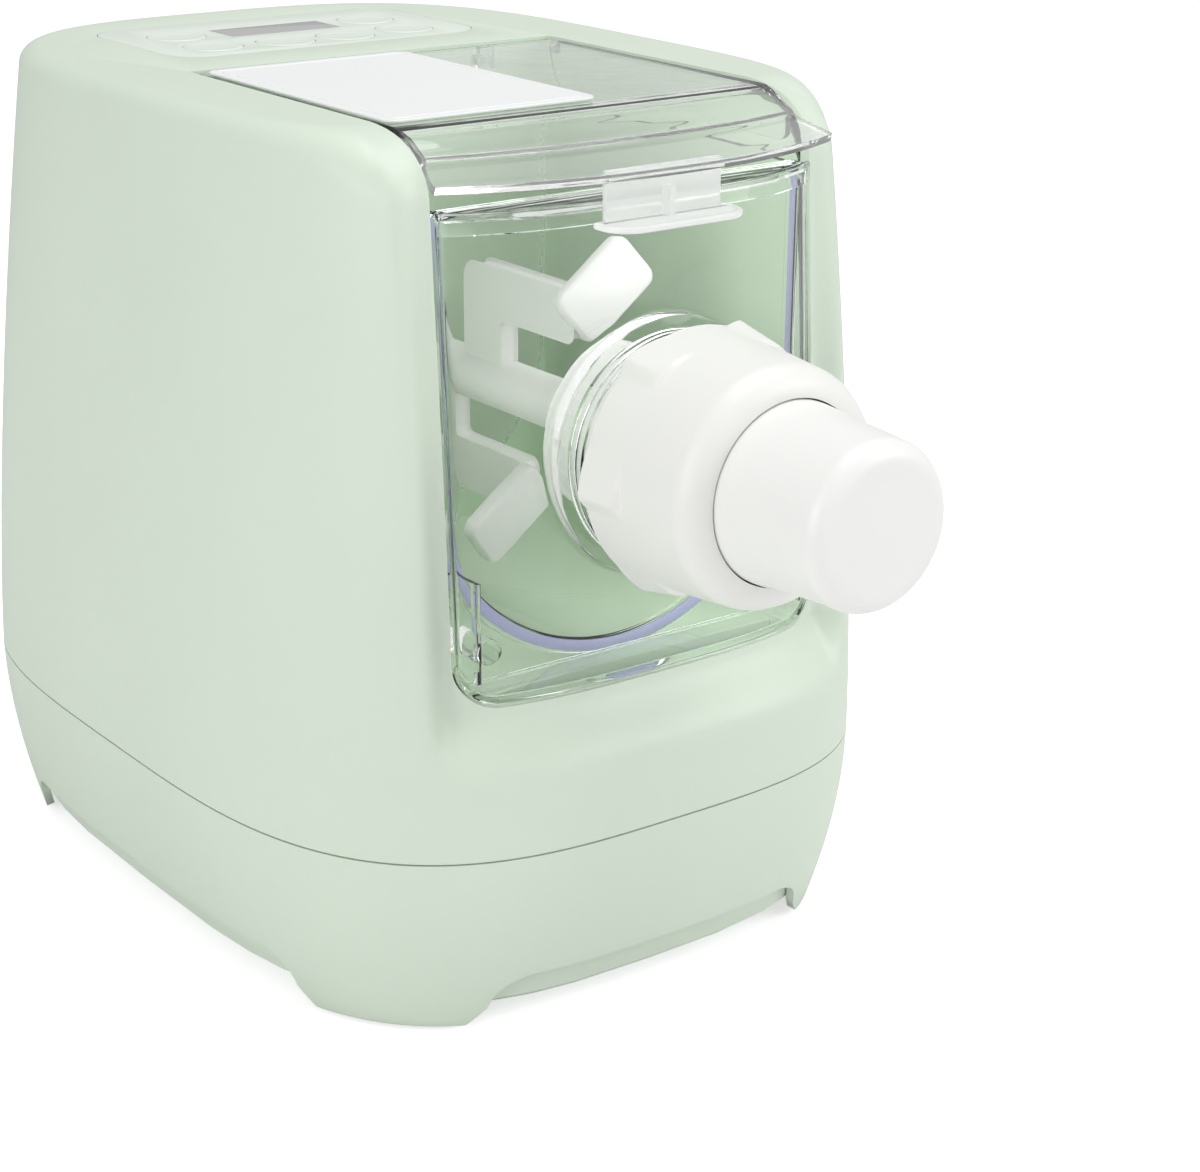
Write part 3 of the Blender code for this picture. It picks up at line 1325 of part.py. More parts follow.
case_floor_y = CASE_FRONT_Y + CASE_WALL
bush_boss_end = CASE_FRONT_Y + BUSH_LENGTH
bush_bore = BUSH_RADIUS + GAP
build(
    "gearbox_case",
    prism(case_outline(0), "Y", CASE_FRONT_Y, COVER_Y - GAP),
    "zinc_steel",
    cuts=[
        prism(case_outline(CASE_WALL), "Y", case_floor_y, COVER_Y + OVERRUN),
        rod("Y", (0, AXIS_Z), bush_bore, CASE_FRONT_Y - OVERRUN, bush_boss_end + OVERRUN, 24),
    ],
)
rear_boss_y = COVER_Y - BUSH_LENGTH
rear_boss = rod("Y", (0, AXIS_Z), BUSH_BOSS_RADIUS, rear_boss_y, COVER_Y + GAP, 24)
axle_seat = rod("Y", (0, CLUSTER_Z), AXLE_RADIUS * 2, rear_boss_y, COVER_Y + GAP)
build(
    "gearbox_cover",
    prism(case_outline(0), "Y", COVER_Y, COVER_BACK_Y),
    "zinc_steel",
    joins=[rear_boss, axle_seat],
    cuts=[
        rod("Y", (0, AXIS_Z), bush_bore, rear_boss_y - OVERRUN, COVER_Y + GAP, 24),
        rod("Y", (0, CLUSTER_Z), AXLE_RADIUS + GAP, rear_boss_y - OVERRUN, COVER_Y),
        rod("Y", (0, MOTOR_Z), MOTOR_NOSE_RADIUS, COVER_Y - OVERRUN, COVER_BACK_Y + OVERRUN),
    ],
)


def bush(name, low_y):
    """A plain bronze bearing bush."""
    bore = SHAFT_RADIUS + RUN_CLEARANCE
    high_y = low_y + BUSH_LENGTH - GAP
    profile = [(low_y, bore), (high_y, bore), (high_y, BUSH_RADIUS), (low_y, BUSH_RADIUS)]
    build(name, turned(profile, (0, AXIS_Z), 24), "bronze")


bush("front_bush", CASE_FRONT_Y)
bush("rear_bush", rear_boss_y)
build("cluster_axle", rod("Y", (0, CLUSTER_Z), AXLE_RADIUS, case_floor_y + GAP, COVER_Y - GAP), "steel")

# Bracket that stands the gearbox on the tray
bracket_low = TRAY_INNER_Z + GAP
bracket_high = CASE_LOW_Z - GAP
bracket_outline = [
    (BRACKET_LOW_Y, bracket_low),
    (BRACKET_HIGH_Y, bracket_low),
    (BRACKET_HIGH_Y, bracket_low + BRACKET_THICK),
    (BRACKET_LOW_Y + BRACKET_THICK, bracket_low + BRACKET_THICK),
    (BRACKET_LOW_Y + BRACKET_THICK, bracket_high - BRACKET_THICK),
    (BRACKET_HIGH_Y, bracket_high - BRACKET_THICK),
    (BRACKET_HIGH_Y, bracket_high),
    (BRACKET_LOW_Y, bracket_high),
]
build("gearbox_bracket", prism(bracket_outline, "X", -BRACKET_HALF_X, BRACKET_HALF_X), "zinc_steel")


# Motor
CAN_FRONT_Y = COVER_BACK_Y + GAP
CAN_REAR_Y = CAN_FRONT_Y + MOTOR_LENGTH
CAP_REAR_Y = CAN_REAR_Y + MOTOR_WALL
can_profile = [
    (CAN_FRONT_Y, MOTOR_SHAFT_RADIUS + RUN_CLEARANCE),
    (CAN_FRONT_Y, MOTOR_RADIUS),
    (CAN_REAR_Y - GAP, MOTOR_RADIUS),
    (CAN_REAR_Y - GAP, MOTOR_RADIUS - MOTOR_WALL),
    (CAN_FRONT_Y + MOTOR_WALL, MOTOR_RADIUS - MOTOR_WALL),
    (CAN_FRONT_Y + MOTOR_WALL, MOTOR_SHAFT_RADIUS + RUN_CLEARANCE),
]
build("motor_can", turned(can_profile, (0, MOTOR_Z), MOTOR_STEPS), "zinc_steel")
cap_profile = [
    (CAN_REAR_Y - 2 * MOTOR_WALL, MOTOR_SHAFT_RADIUS + RUN_CLEARANCE),
    (CAN_REAR_Y - 2 * MOTOR_WALL, MOTOR_RADIUS - MOTOR_WALL - GAP),
    (CAN_REAR_Y, MOTOR_RADIUS - MOTOR_WALL - GAP),
    (CAN_REAR_Y, MOTOR_RADIUS),
    (CAP_REAR_Y, MOTOR_RADIUS),
    (CAP_REAR_Y, MOTOR_SHAFT_RADIUS + RUN_CLEARANCE),
]
build("motor_end_cap", turned(cap_profile, (0, MOTOR_Z), MOTOR_STEPS), "black_plastic")
stator_outer = MOTOR_RADIUS - MOTOR_WALL - GAP
rotor_middle = (CAN_FRONT_Y + CAN_REAR_Y - MOTOR_WALL) / 2
stator_half = ROTOR_LENGTH / 2 + MOTOR_WALL
stator_profile = [
    (rotor_middle - stator_half, stator_outer - STATOR_THICK),
    (rotor_middle - stator_half, stator_outer),
    (rotor_middle + stator_half, stator_outer),
    (rotor_middle + stator_half, stator_outer - STATOR_THICK),
]
build("stator_magnet", turned(stator_profile, (0, MOTOR_Z), MOTOR_STEPS), "black_plastic")


def armature_outline():
    """Slotted laminations: wide poles with narrow slots between."""
    outline = []
    for k in range(ROTOR_SLOTS):
        for offset_share in (-ROTOR_POLE_SHARE, 0, ROTOR_POLE_SHARE):
            turn = 2 * math.pi * (k + offset_share) / ROTOR_SLOTS
            outline.append((ROTOR_RADIUS * math.cos(turn), MOTOR_Z + ROTOR_RADIUS * math.sin(turn)))
        turn = 2 * math.pi * (k + 1 / 2) / ROTOR_SLOTS
        root = ROTOR_RADIUS * ROTOR_SLOT_ROOT_SHARE
        outline.append((root * math.cos(turn), MOTOR_Z + root * math.sin(turn)))
    return outline


FAN_FRONT_Y = CAP_REAR_Y + FAN_GAP
fan_end_y = FAN_FRONT_Y + FAN_THICK
motor_shaft = rod("Y", (0, MOTOR_Z), MOTOR_SHAFT_RADIUS, input_pinion_span[0], fan_end_y, SMALL_STEPS)
build(
    "motor_armature",
    prism(armature_outline(), "Y", rotor_middle - ROTOR_LENGTH / 2, rotor_middle + ROTOR_LENGTH / 2),
    "steel",
    joins=[motor_shaft],
    origin=(0, rotor_middle, MOTOR_Z),
)


def fan_outline():
    """Curved blades round a hub, seen along the shaft."""
    radii = (FAN_HUB_RADIUS, FAN_RADIUS / 2, FAN_RADIUS)
    leading = list(zip(radii, FAN_LEADING_SHARES))
    trailing = list(zip(radii, FAN_TRAILING_SHARES))
    outline = []
    for k in range(FAN_BLADES):
        start = 2 * math.pi * k / FAN_BLADES
        for radius, lead_share in leading + trailing[::-1]:
            turn = start + lead_share * 2 * math.pi / FAN_BLADES
            outline.append((radius * math.cos(turn), MOTOR_Z + radius * math.sin(turn)))
    return outline


fan_bore = rod("Y", (0, MOTOR_Z), MOTOR_SHAFT_RADIUS + GAP, FAN_FRONT_Y - OVERRUN, fan_end_y + OVERRUN)
build(
    "cooling_fan",
    prism(fan_outline(), "Y", FAN_FRONT_Y, fan_end_y),
    "black_plastic",
    cuts=[fan_bore],
    origin=(0, FAN_FRONT_Y, MOTOR_Z),
)


# Clear lid: a flat top that runs down into a flared visor
LID_COLUMNS = 14


def visor_place(x_share, reach_share, drop_share):
    """A point of the lid's upper surface past the crown, bulging forwards in the middle."""
    bulge = 1 - abs(x_share) ** LID_BULGE_POWER
    lip_y = LID_LIP_SIDE_Y + (LID_LIP_MID_Y - LID_LIP_SIDE_Y) * bulge
    flare = max(0, (reach_share - LID_FLARE_SHARE) / (1 - LID_FLARE_SHARE))
    half = LID_HALF_X + (LID_LIP_HALF_X - LID_HALF_X) * flare * flare * (3 - 2 * flare)
    y = LID_CROWN_Y + (lip_y - LID_CROWN_Y) * reach_share
    z = LID_TOP_Z + (LID_LIP_Z - LID_TOP_Z) * drop_share
    return x_share * half, y, z


def lid_shell():
    """The lid's sheet: upper and lower surfaces on one grid, closed round the edge."""
    shares = [-1 + 2 * k / LID_COLUMNS for k in range(LID_COLUMNS + 1)]
    upper_rows = []
    rear_edge = [(LID_REAR_Y, LID_TOP_Z - LID_EDGE), (LID_REAR_Y - LID_EDGE, LID_TOP_Z)]
    for y, z in (*rear_edge, ((LID_REAR_Y + LID_CROWN_Y) / 2, LID_TOP_Z)):
        upper_rows.append([(s * LID_HALF_X, y, z) for s in shares])
    for reach_share, drop_share in LID_VISOR_SHARES:
        upper_rows.append([visor_place(s, reach_share, drop_share) for s in shares])
    lower_rows = []
    count = len(upper_rows)
    for k, row in enumerate(upper_rows):
        before, after = upper_rows[max(1, k - 1)], upper_rows[min(count - 1, max(2, k + 1))]
        lower = []
        for i, (x, y, z) in enumerate(row):
            run = Vector((0, after[i][1] - before[i][1], after[i][2] - before[i][2]))
            normal = Vector((0, run.z, -run.y)).normalized()
            depth = LID_THICK - LID_EDGE if k == 0 else LID_THICK
            lower.append((x, y - normal.y * depth, z - normal.z * depth))
        lower_rows.append(lower)
    return loft([upper_rows[k] + lower_rows[k][::-1] for k in range(count)])


def visor_under(x, y):
    """Height of the visor's underside at a place, found along its own section."""
    bulge = 1 - (abs(x) / LID_LIP_HALF_X) ** LID_BULGE_POWER
    lip_y = LID_LIP_SIDE_Y + (LID_LIP_MID_Y - LID_LIP_SIDE_Y) * bulge
    reach = (y - LID_CROWN_Y) / (lip_y - LID_CROWN_Y)
    for (r0, d0), (r1, d1) in zip(LID_VISOR_SHARES, LID_VISOR_SHARES[1:]):
        if r0 <= reach <= r1:
            drop = d0 + (d1 - d0) * (reach - r0) / (r1 - r0)
            return LID_TOP_Z + (LID_LIP_Z - LID_TOP_Z) * drop - LID_THICK
    return LID_LIP_Z - LID_THICK


lid_under_z = LID_TOP_Z - LID_THICK
skirt_outline = [
    (HINGE_Y + 2 * HINGE_PIN_RADIUS, HINGE_Z - 2 * HINGE_PIN_RADIUS),
    (HINGE_Y + 2 * HINGE_PIN_RADIUS, lid_under_z + GAP),
    (LID_CROWN_Y, lid_under_z + GAP),
    (LID_SKIRT_FRONT_Y, visor_under(LID_HALF_X, LID_SKIRT_FRONT_Y) + GAP),
    (LID_SKIRT_FRONT_Y, LID_SKIRT_LOW_Z),
    (HINGE_Y - 4 * HINGE_PIN_RADIUS, LID_SKIRT_LOW_Z),
]
skirt_x = LID_HALF_X - GAP
skirts = [
    prism(skirt_outline, "X", -skirt_x, -skirt_x + LID_SKIRT_THICK),
    prism(skirt_outline, "X", skirt_x - LID_SKIRT_THICK, skirt_x),
]
plunger_front_y = WINDOW_REAR_Y - PLUNGER_PROUD
tongue_front_y = LID_REAR_Y - LID_TONGUE_THICK - 2 * GAP
nose_y = plunger_front_y - GAP
tongue_outline = [
    (tongue_front_y, LID_TONGUE_LOW_Z),
    (nose_y, LID_TONGUE_LOW_Z),
    (nose_y, LID_TONGUE_LOW_Z + LID_TONGUE_NOSE),
    (tongue_front_y + LID_TONGUE_THICK, LID_TONGUE_LOW_Z + LID_TONGUE_NOSE),
    (tongue_front_y + LID_TONGUE_THICK, lid_under_z + GAP),
    (tongue_front_y, lid_under_z + GAP),
]
tongue_half = LID_TONGUE_WIDTH / 2
tongue = prism(tongue_outline, "X", SWITCH_X - tongue_half, SWITCH_X + tongue_half)
HINGE_POINT = (0, HINGE_Y, HINGE_Z)
pin_hole_x = LID_HALF_X + OVERRUN
pin_hole_radius = HINGE_PIN_RADIUS + RUN_CLEARANCE
pin_hole = rod("X", (HINGE_Y, HINGE_Z), pin_hole_radius, -pin_hole_x, pin_hole_x, TINY_STEPS)
build("lid", lid_shell(), "clear_plastic", joins=[*skirts, tongue], cuts=[pin_hole], origin=HINGE_POINT)

# Hinge pins through the liner's walls into the lid's skirts
pin_inner_x = LID_HALF_X - HINGE_PIN_ENGAGE
pin_outer_x = LINER_HALF_X
for side_name, low_x, high_x in (("left", -pin_outer_x, -pin_inner_x), ("right", pin_inner_x, pin_outer_x)):
    pin = rod("X", (HINGE_Y, HINGE_Z), HINGE_PIN_RADIUS, low_x, high_x, TINY_STEPS)
    build(f"hinge_pin_{side_name}", pin, "steel")

# Label plate on the lid, left bare
label_outline = round_rectangle(LABEL_LOW_X, LABEL_HIGH_X, LABEL_LOW_Y, LABEL_HIGH_Y, (LABEL_CORNER,) * 4, 4)
label_low = LID_TOP_Z + GAP
label_shape = prism(label_outline, "Z", label_low, label_low + LABEL_THICK)
build("lid_label", label_shape, "label_film", origin=HINGE_POINT)


# Finger tab under the visor
def tab_shape():
    """A panel that hangs from the visor."""
    top_rear = min(visor_under(x, TAB_PANEL_Y) for x in (0, TAB_HALF_X)) - GAP
    top_front = min(visor_under(x, TAB_PANEL_Y - TAB_THICK) for x in (0, TAB_HALF_X)) - GAP
    outline = [
        (TAB_PANEL_Y, TAB_SHELF_Z - TAB_THICK),
        (TAB_PANEL_Y, top_rear),
        (TAB_PANEL_Y - TAB_THICK, top_front),
        (TAB_PANEL_Y - TAB_THICK, TAB_SHELF_Z - TAB_THICK),
    ]
    return prism(outline, "X", -TAB_HALF_X, TAB_HALF_X)


shelf_corners = (TAB_SHELF_CORNER, TAB_SHELF_CORNER, 0, 0)
shelf_outline = round_rectangle(
    -TAB_SHELF_HALF_X, TAB_SHELF_HALF_X, TAB_SHELF_FRONT_Y, TAB_PANEL_Y - GAP, shelf_corners
)
tab_shelf = prism(shelf_outline, "Z", TAB_SHELF_Z - TAB_THICK - GAP, TAB_SHELF_Z)
build("lid_finger_tab", tab_shape(), "frosted_plastic", joins=[tab_shelf], origin=HINGE_POINT)


# Control panel
PANEL_UNDER_Z = HEIGHT - PANEL_THICK
KEYS = {
    "key_rear_left": (-KEY_OUTER_X, KEY_REAR_ROW_Y),
    "key_rear_right": (KEY_OUTER_X, KEY_REAR_ROW_Y),
    "key_front_left": (-KEY_OUTER_X, KEY_FRONT_ROW_Y),
    "key_front_right": (KEY_OUTER_X, KEY_FRONT_ROW_Y),
    "key_middle_left": (-KEY_INNER_X, KEY_INNER_ROW_Y),
    "key_middle_right": (KEY_INNER_X, KEY_INNER_ROW_Y),
}


def board_posts():
    """Posts from the panel's underside down to the control board."""
    low, high = BOARD_TOP_Z + GAP, PANEL_UNDER_Z + GAP
    posts = []
    for x in (-BOARD_HALF_X + BOARD_POST_INSET, BOARD_HALF_X - BOARD_POST_INSET):
        for y in (BOARD_LOW_Y + BOARD_POST_INSET, BOARD_HIGH_Y - BOARD_POST_INSET):
            posts.append(rod("Z", (x, y), BOARD_POST_RADIUS, low, high, TINY_STEPS))
    return posts


def panel_cutters():
    """Holes for the keys and a stepped opening for the display."""
    low, high = PANEL_UNDER_Z - OVERRUN, HEIGHT + OVERRUN
    cutters = [rod("Z", centre, KEY_RADIUS + RUN_CLEARANCE, low, high, KEY_STEPS) for centre in KEYS.values()]
    ledge_z = HEIGHT - DISPLAY_THICK - GAP
    cutters.append(prism(display_outline(-GAP), "Z", ledge_z, high))
    cutters.append(prism(display_outline(DISPLAY_LEDGE), "Z", low, ledge_z + GAP))
    return cutters


def display_outline(inset):
    radius = DISPLAY_CORNER if inset < 0 else 0
    low, high = DISPLAY_LOW_Y + inset, DISPLAY_HIGH_Y - inset
    return round_rectangle(-DISPLAY_HALF_X + inset, DISPLAY_HALF_X - inset, low, high, (radius,) * 4, 2)


rim_top = HEIGHT - WALL - GAP
rim_low = rim_top - PANEL_RIM_THICK
rim_section = ((-PANEL_RIM, rim_low), (-PANEL_RIM, rim_top), (PANEL_RIM, rim_top), (PANEL_RIM, rim_low))
panel_rim = loft([[(u, v, z) for u, v in panel_outline(inset)] for inset, z in rim_section], closed=True)
panel_body = prism(panel_outline(GAP), "Z", PANEL_UNDER_Z, HEIGHT)
build("control_panel", panel_body, "panel_plastic", joins=[panel_rim, *board_posts()], cuts=panel_cutters())
display_glass = prism(display_outline(0), "Z", HEIGHT - DISPLAY_THICK, HEIGHT)
build("display_window", display_glass, "display_grey")
lcd_top = PANEL_UNDER_Z - GAP
lcd_block = box(
    (-DISPLAY_HALF_X + LCD_MARGIN - GAP, DISPLAY_LOW_Y + LCD_MARGIN, lcd_top - LCD_THICK),
    (DISPLAY_HALF_X - LCD_MARGIN + GAP, DISPLAY_HIGH_Y - LCD_MARGIN, lcd_top),
)
build("lcd_module", lcd_block, "black_plastic")


def key_shape(centre):
    """A round key: soft top edge, straight skirt, retaining flange and stem."""
    top = HEIGHT + KEY_PROUD
    flange_top = PANEL_UNDER_Z - GAP
    flange_low = flange_top - KEY_FLANGE_THICK
    stem_low = TACT_TOP_Z + GAP + KEY_TRAVEL
    profile = [
        (top, KEY_RADIUS - KEY_EDGE),
        (top - KEY_EDGE, KEY_RADIUS),
        (flange_top, KEY_RADIUS),
        (flange_top, KEY_RADIUS + KEY_FLANGE),
        (flange_low, KEY_RADIUS + KEY_FLANGE),
        (flange_low, KEY_STEM_RADIUS),
        (stem_low, KEY_STEM_RADIUS),
    ]
    return turned(profile, centre, KEY_STEPS, "Z", closed=False)


TACT_TOP_Z = BOARD_TOP_Z + TACT_HALF
for key_name, centre in KEYS.items():
    build(key_name, key_shape(centre), "panel_plastic", origin=(*centre, HEIGHT))

tacts = []
for x, y in KEYS.values():
    tact_low = (x - TACT_HALF, y - TACT_HALF, BOARD_TOP_Z - GAP)
    tacts.append(box(tact_low, (x + TACT_HALF, y + TACT_HALF, TACT_TOP_Z)))
board_block = box(
    (-BOARD_HALF_X, BOARD_LOW_Y, BOARD_TOP_Z - BOARD_THICK), (BOARD_HALF_X, BOARD_HIGH_Y, BOARD_TOP_Z)
)
build("control_board", board_block, "circuit_board", joins=tacts)


# Power board in the base
def power_parts():
    """Relay, choke and capacitor standing on the board."""
    top = POWER_Z + BOARD_THICK
    low = top - GAP
    relay_x, relay_y, relay_z = RELAY_SIZE
    choke_x, choke_y, choke_z = CHOKE_SIZE
    middle = (POWER_LOW_Y + POWER_HIGH_Y) / 2
    relay = box((-relay_x, middle, low), (0, middle + relay_y, top + relay_z))
    choke = box((relay_x, middle - choke_y, low), (relay_x + choke_x, middle, top + choke_z))
    capacitor_place = (-relay_x - CAPACITOR_RADIUS, middle - choke_y / 2)
    capacitor = rod("Z", capacitor_place, CAPACITOR_RADIUS, low, top + CAPACITOR_HEIGHT)
    return [relay, choke, capacitor]


power_block = box((-POWER_HALF_X, POWER_LOW_Y, POWER_Z), (POWER_HALF_X, POWER_HIGH_Y, POWER_Z + BOARD_THICK))
build("power_board", power_block, "circuit_board", joins=power_parts())


# Safety switch behind the liner, with its plunger through the slot
switch_front_y = LINER_BACK_Y + GAP
pocket_depth = PLUNGER_LENGTH - PLUNGER_PROUD - LINER_WALL + PLUNGER_TRAVEL + GAP
switch_pocket = box(
    (SWITCH_X - PLUNGER_HALF_X - GAP, switch_front_y - OVERRUN, SWITCH_Z - PLUNGER_HALF_Z - GAP),
    (SWITCH_X + PLUNGER_HALF_X + GAP, switch_front_y + pocket_depth, SWITCH_Z + PLUNGER_HALF_Z + GAP),
)
switch_block = box(
    (SWITCH_X - SWITCH_HALF_X, switch_front_y, SWITCH_Z - SWITCH_HALF_Z),
    (SWITCH_X + SWITCH_HALF_X, switch_front_y + SWITCH_DEPTH, SWITCH_Z + SWITCH_HALF_Z),
)
build("safety_switch", switch_block, "black_plastic", cuts=[switch_pocket])
plunger = box(
    (SWITCH_X - PLUNGER_HALF_X, plunger_front_y, SWITCH_Z - PLUNGER_HALF_Z),
    (SWITCH_X + PLUNGER_HALF_X, plunger_front_y + PLUNGER_LENGTH, SWITCH_Z + PLUNGER_HALF_Z),
)
build("switch_plunger", plunger, "panel_plastic", origin=(SWITCH_X, plunger_front_y, SWITCH_Z))

# Cord gland in the rear wall of the base
gland_wall_y = -front_y(GLAND_X - GLAND_FLANGE_RADIUS, GLAND_Z + GLAND_FLANGE_RADIUS)
gland_profile = [
    (gland_wall_y - GLAND_LENGTH, GLAND_BORE_RADIUS),
    (gland_wall_y - GLAND_LENGTH, GLAND_RADIUS),
    (gland_wall_y + GAP, GLAND_RADIUS),
    (gland_wall_y + GAP, GLAND_FLANGE_RADIUS),
    (gland_wall_y + GAP + GLAND_FLANGE_THICK, GLAND_RADIUS),
    (gland_wall_y + GAP + GLAND_FLANGE_THICK, GLAND_BORE_RADIUS),
]
build("cord_gland", turned(gland_profile, (GLAND_X, GLAND_Z), 20), "dark_rubber")
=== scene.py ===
import math

import bmesh
import bpy
import numpy as np
from mathutils import Matrix, Vector


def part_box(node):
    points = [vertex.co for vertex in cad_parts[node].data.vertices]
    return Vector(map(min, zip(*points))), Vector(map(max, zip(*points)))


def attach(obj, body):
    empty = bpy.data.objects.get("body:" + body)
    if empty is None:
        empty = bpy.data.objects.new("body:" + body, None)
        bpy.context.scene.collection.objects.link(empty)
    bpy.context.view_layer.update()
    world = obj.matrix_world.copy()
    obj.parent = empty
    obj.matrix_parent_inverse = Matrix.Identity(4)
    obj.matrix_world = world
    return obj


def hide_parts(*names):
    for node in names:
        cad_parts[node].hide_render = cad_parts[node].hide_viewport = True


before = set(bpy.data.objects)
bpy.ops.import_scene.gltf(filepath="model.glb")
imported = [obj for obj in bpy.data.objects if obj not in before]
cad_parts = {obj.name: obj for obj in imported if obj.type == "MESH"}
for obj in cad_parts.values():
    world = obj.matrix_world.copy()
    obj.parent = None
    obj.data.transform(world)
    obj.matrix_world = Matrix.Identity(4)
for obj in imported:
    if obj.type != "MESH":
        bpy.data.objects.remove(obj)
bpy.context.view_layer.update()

# The camera stands in front of the machine's left corner, a little above it, with a long lens, so that
# the left wall, the deck and the window all show.
BODY_Y = 0.0448979
VIEW_TARGET = Vector((0.0662, 0.0246, 0.0868))
VIEW_AZIMUTH = math.radians(-36.46)
VIEW_ELEVATION = math.radians(20.03)
VIEW_ROLL = math.radians(0.34)
VIEW_DISTANCE = 0.9808

backward = Vector(
    (
        math.sin(VIEW_AZIMUTH) * math.cos(VIEW_ELEVATION),
        -math.cos(VIEW_AZIMUTH) * math.cos(VIEW_ELEVATION),
        math.sin(VIEW_ELEVATION),
    )
)
level = (-backward).cross(Vector((0, 0, 1))).normalized()
upright = level.cross(-backward)
sideways = math.cos(VIEW_ROLL) * level + math.sin(VIEW_ROLL) * upright
upward = -math.sin(VIEW_ROLL) * level + math.cos(VIEW_ROLL) * upright
camera = bpy.data.objects.new("camera", bpy.data.cameras.new("camera"))
bpy.context.scene.collection.objects.link(camera)
turned_frame = Matrix((sideways, upward, backward)).transposed().to_4x4()
camera.matrix_world = Matrix.Translation(VIEW_TARGET + VIEW_DISTANCE * backward) @ turned_frame
camera.data.sensor_width = 36
camera.data.lens = 79.23
camera.data.shift_x = 0.01065
camera.data.shift_y = 0.0008
camera.data.clip_start = 0.05
camera.data.clip_end = 30
bpy.context.scene.camera = camera

# A white floor that runs out of sight, a white surround, three wide soft lamps over the deck, at the front right
# and at the left, and two soft fills that face into the chamber and light nothing else.
FLOOR_HALF = 7.0
SURROUND_LIGHT = 0.52
FLOOR_COLOUR = (0.86, 0.86, 0.86, 1)
FLOOR_LIFT = 0.62
LAMPS = (
    ("lamp_over", (0.3, -0.15, 1.75), (0.0, 0.0, 0.15), 1.5, 13.0),
    ("lamp_front_right", (1.35, -1.55, 1.05), (0.0, -0.05, 0.15), 1.3, 14.0),
    ("lamp_left", (-1.9, -0.55, 0.7), (0.0, 0.0, 0.12), 1.4, 13.5),
    ("fill_front", (-0.012, -0.079, 0.208), (0.005, 0.05, 0.2), 0.12, 0.009),
    ("fill_left", (-0.0655, -0.02, 0.21), (0.05, -0.01, 0.19), 0.1, 0.02),
)

bpy.context.scene.view_settings.view_transform = "Standard"
surround = bpy.data.worlds.new("surround")
bpy.context.scene.world = surround
surround.use_nodes = True
sky = surround.node_tree.nodes["Background"]
sky.inputs["Color"].default_value = (1, 1, 1, 1)
ray = surround.node_tree.nodes.new("ShaderNodeLightPath")
seen = surround.node_tree.nodes.new("ShaderNodeMath")
seen.operation = "MAXIMUM"
strength = surround.node_tree.nodes.new("ShaderNodeMapRange")
strength.inputs["To Min"].default_value = SURROUND_LIGHT
strength.inputs["To Max"].default_value = 1
world_links = surround.node_tree.links
world_links.new(ray.outputs["Is Camera Ray"], seen.inputs[0])
world_links.new(ray.outputs["Is Transmission Ray"], seen.inputs[1])
world_links.new(seen.outputs[0], strength.inputs["Value"])
world_links.new(strength.outputs[0], sky.inputs["Strength"])

for name, place, aim, side, power in LAMPS:
    lamp = bpy.data.objects.new(name, bpy.data.lights.new(name, "AREA"))
    lamp.data.shape = "DISK"
    lamp.data.size = side
    lamp.data.energy = power
    lamp.visible_camera = lamp.visible_glossy = lamp.visible_transmission = side > 1
    lamp.location = place
    lamp.rotation_euler = (Vector(aim) - Vector(place)).to_track_quat("-Z", "Y").to_euler()
    bpy.context.scene.collection.objects.link(lamp)

floor_mesh = bpy.data.meshes.new("floor")
corners = [(-FLOOR_HALF, -FLOOR_HALF, 0), (FLOOR_HALF, -FLOOR_HALF, 0), (FLOOR_HALF, FLOOR_HALF, 0), (-FLOOR_HALF, FLOOR_HALF, 0)]
floor_mesh.from_pydata(corners, [], [(0, 1, 2, 3)])
floor = bpy.data.objects.new("floor", floor_mesh)
bpy.context.scene.collection.objects.link(floor)
floor_paint = bpy.data.materials.new("floor_paint")
floor_paint.use_nodes = True
floor_nodes = floor_paint.node_tree.nodes
floor_shader = floor_nodes["Principled BSDF"]
floor_shader.inputs["Base Color"].default_value = FLOOR_COLOUR
floor_shader.inputs["Roughness"].default_value = 0.9
floor_shader.inputs["Specular IOR Level"].default_value = 0.1
floor_shader.inputs["Emission Color"].default_value = (1, 1, 1, 1)
floor_ray = floor_nodes.new("ShaderNodeLightPath")
floor_lift = floor_nodes.new("ShaderNodeMath")
floor_lift.operation = "MULTIPLY"
floor_lift.inputs[1].default_value = FLOOR_LIFT
floor_paint.node_tree.links.new(floor_ray.outputs["Is Camera Ray"], floor_lift.inputs[0])
floor_paint.node_tree.links.new(floor_lift.outputs[0], floor_shader.inputs["Emission Strength"])
floor_mesh.materials.append(floor_paint)


# Upper housing: one injection-moulded shell of mint plastic. Its walls lean in towards a flat deck, a dish runs
# round the window in its front, and its edges roll over into the window and into the deck's opening.
HEIGHT = 0.285
SEAM_Z = 0.0636
SHELL_GAP = 0.0006
WALL = 0.003
PLAN_X = 2 / 3.2
PLAN_Y = 2 / 3.5
WINDOW_HALF = 0.072
WINDOW_LOW = 0.1103
WINDOW_ROUND = 0.0145
WINDOW_REAR = 0.0128
STRIP_HALF = 0.088
PANEL_HALF = (0.062, 0.0365)
PANEL_MIDDLE = 0.0735
PANEL_ROUND = 0.014


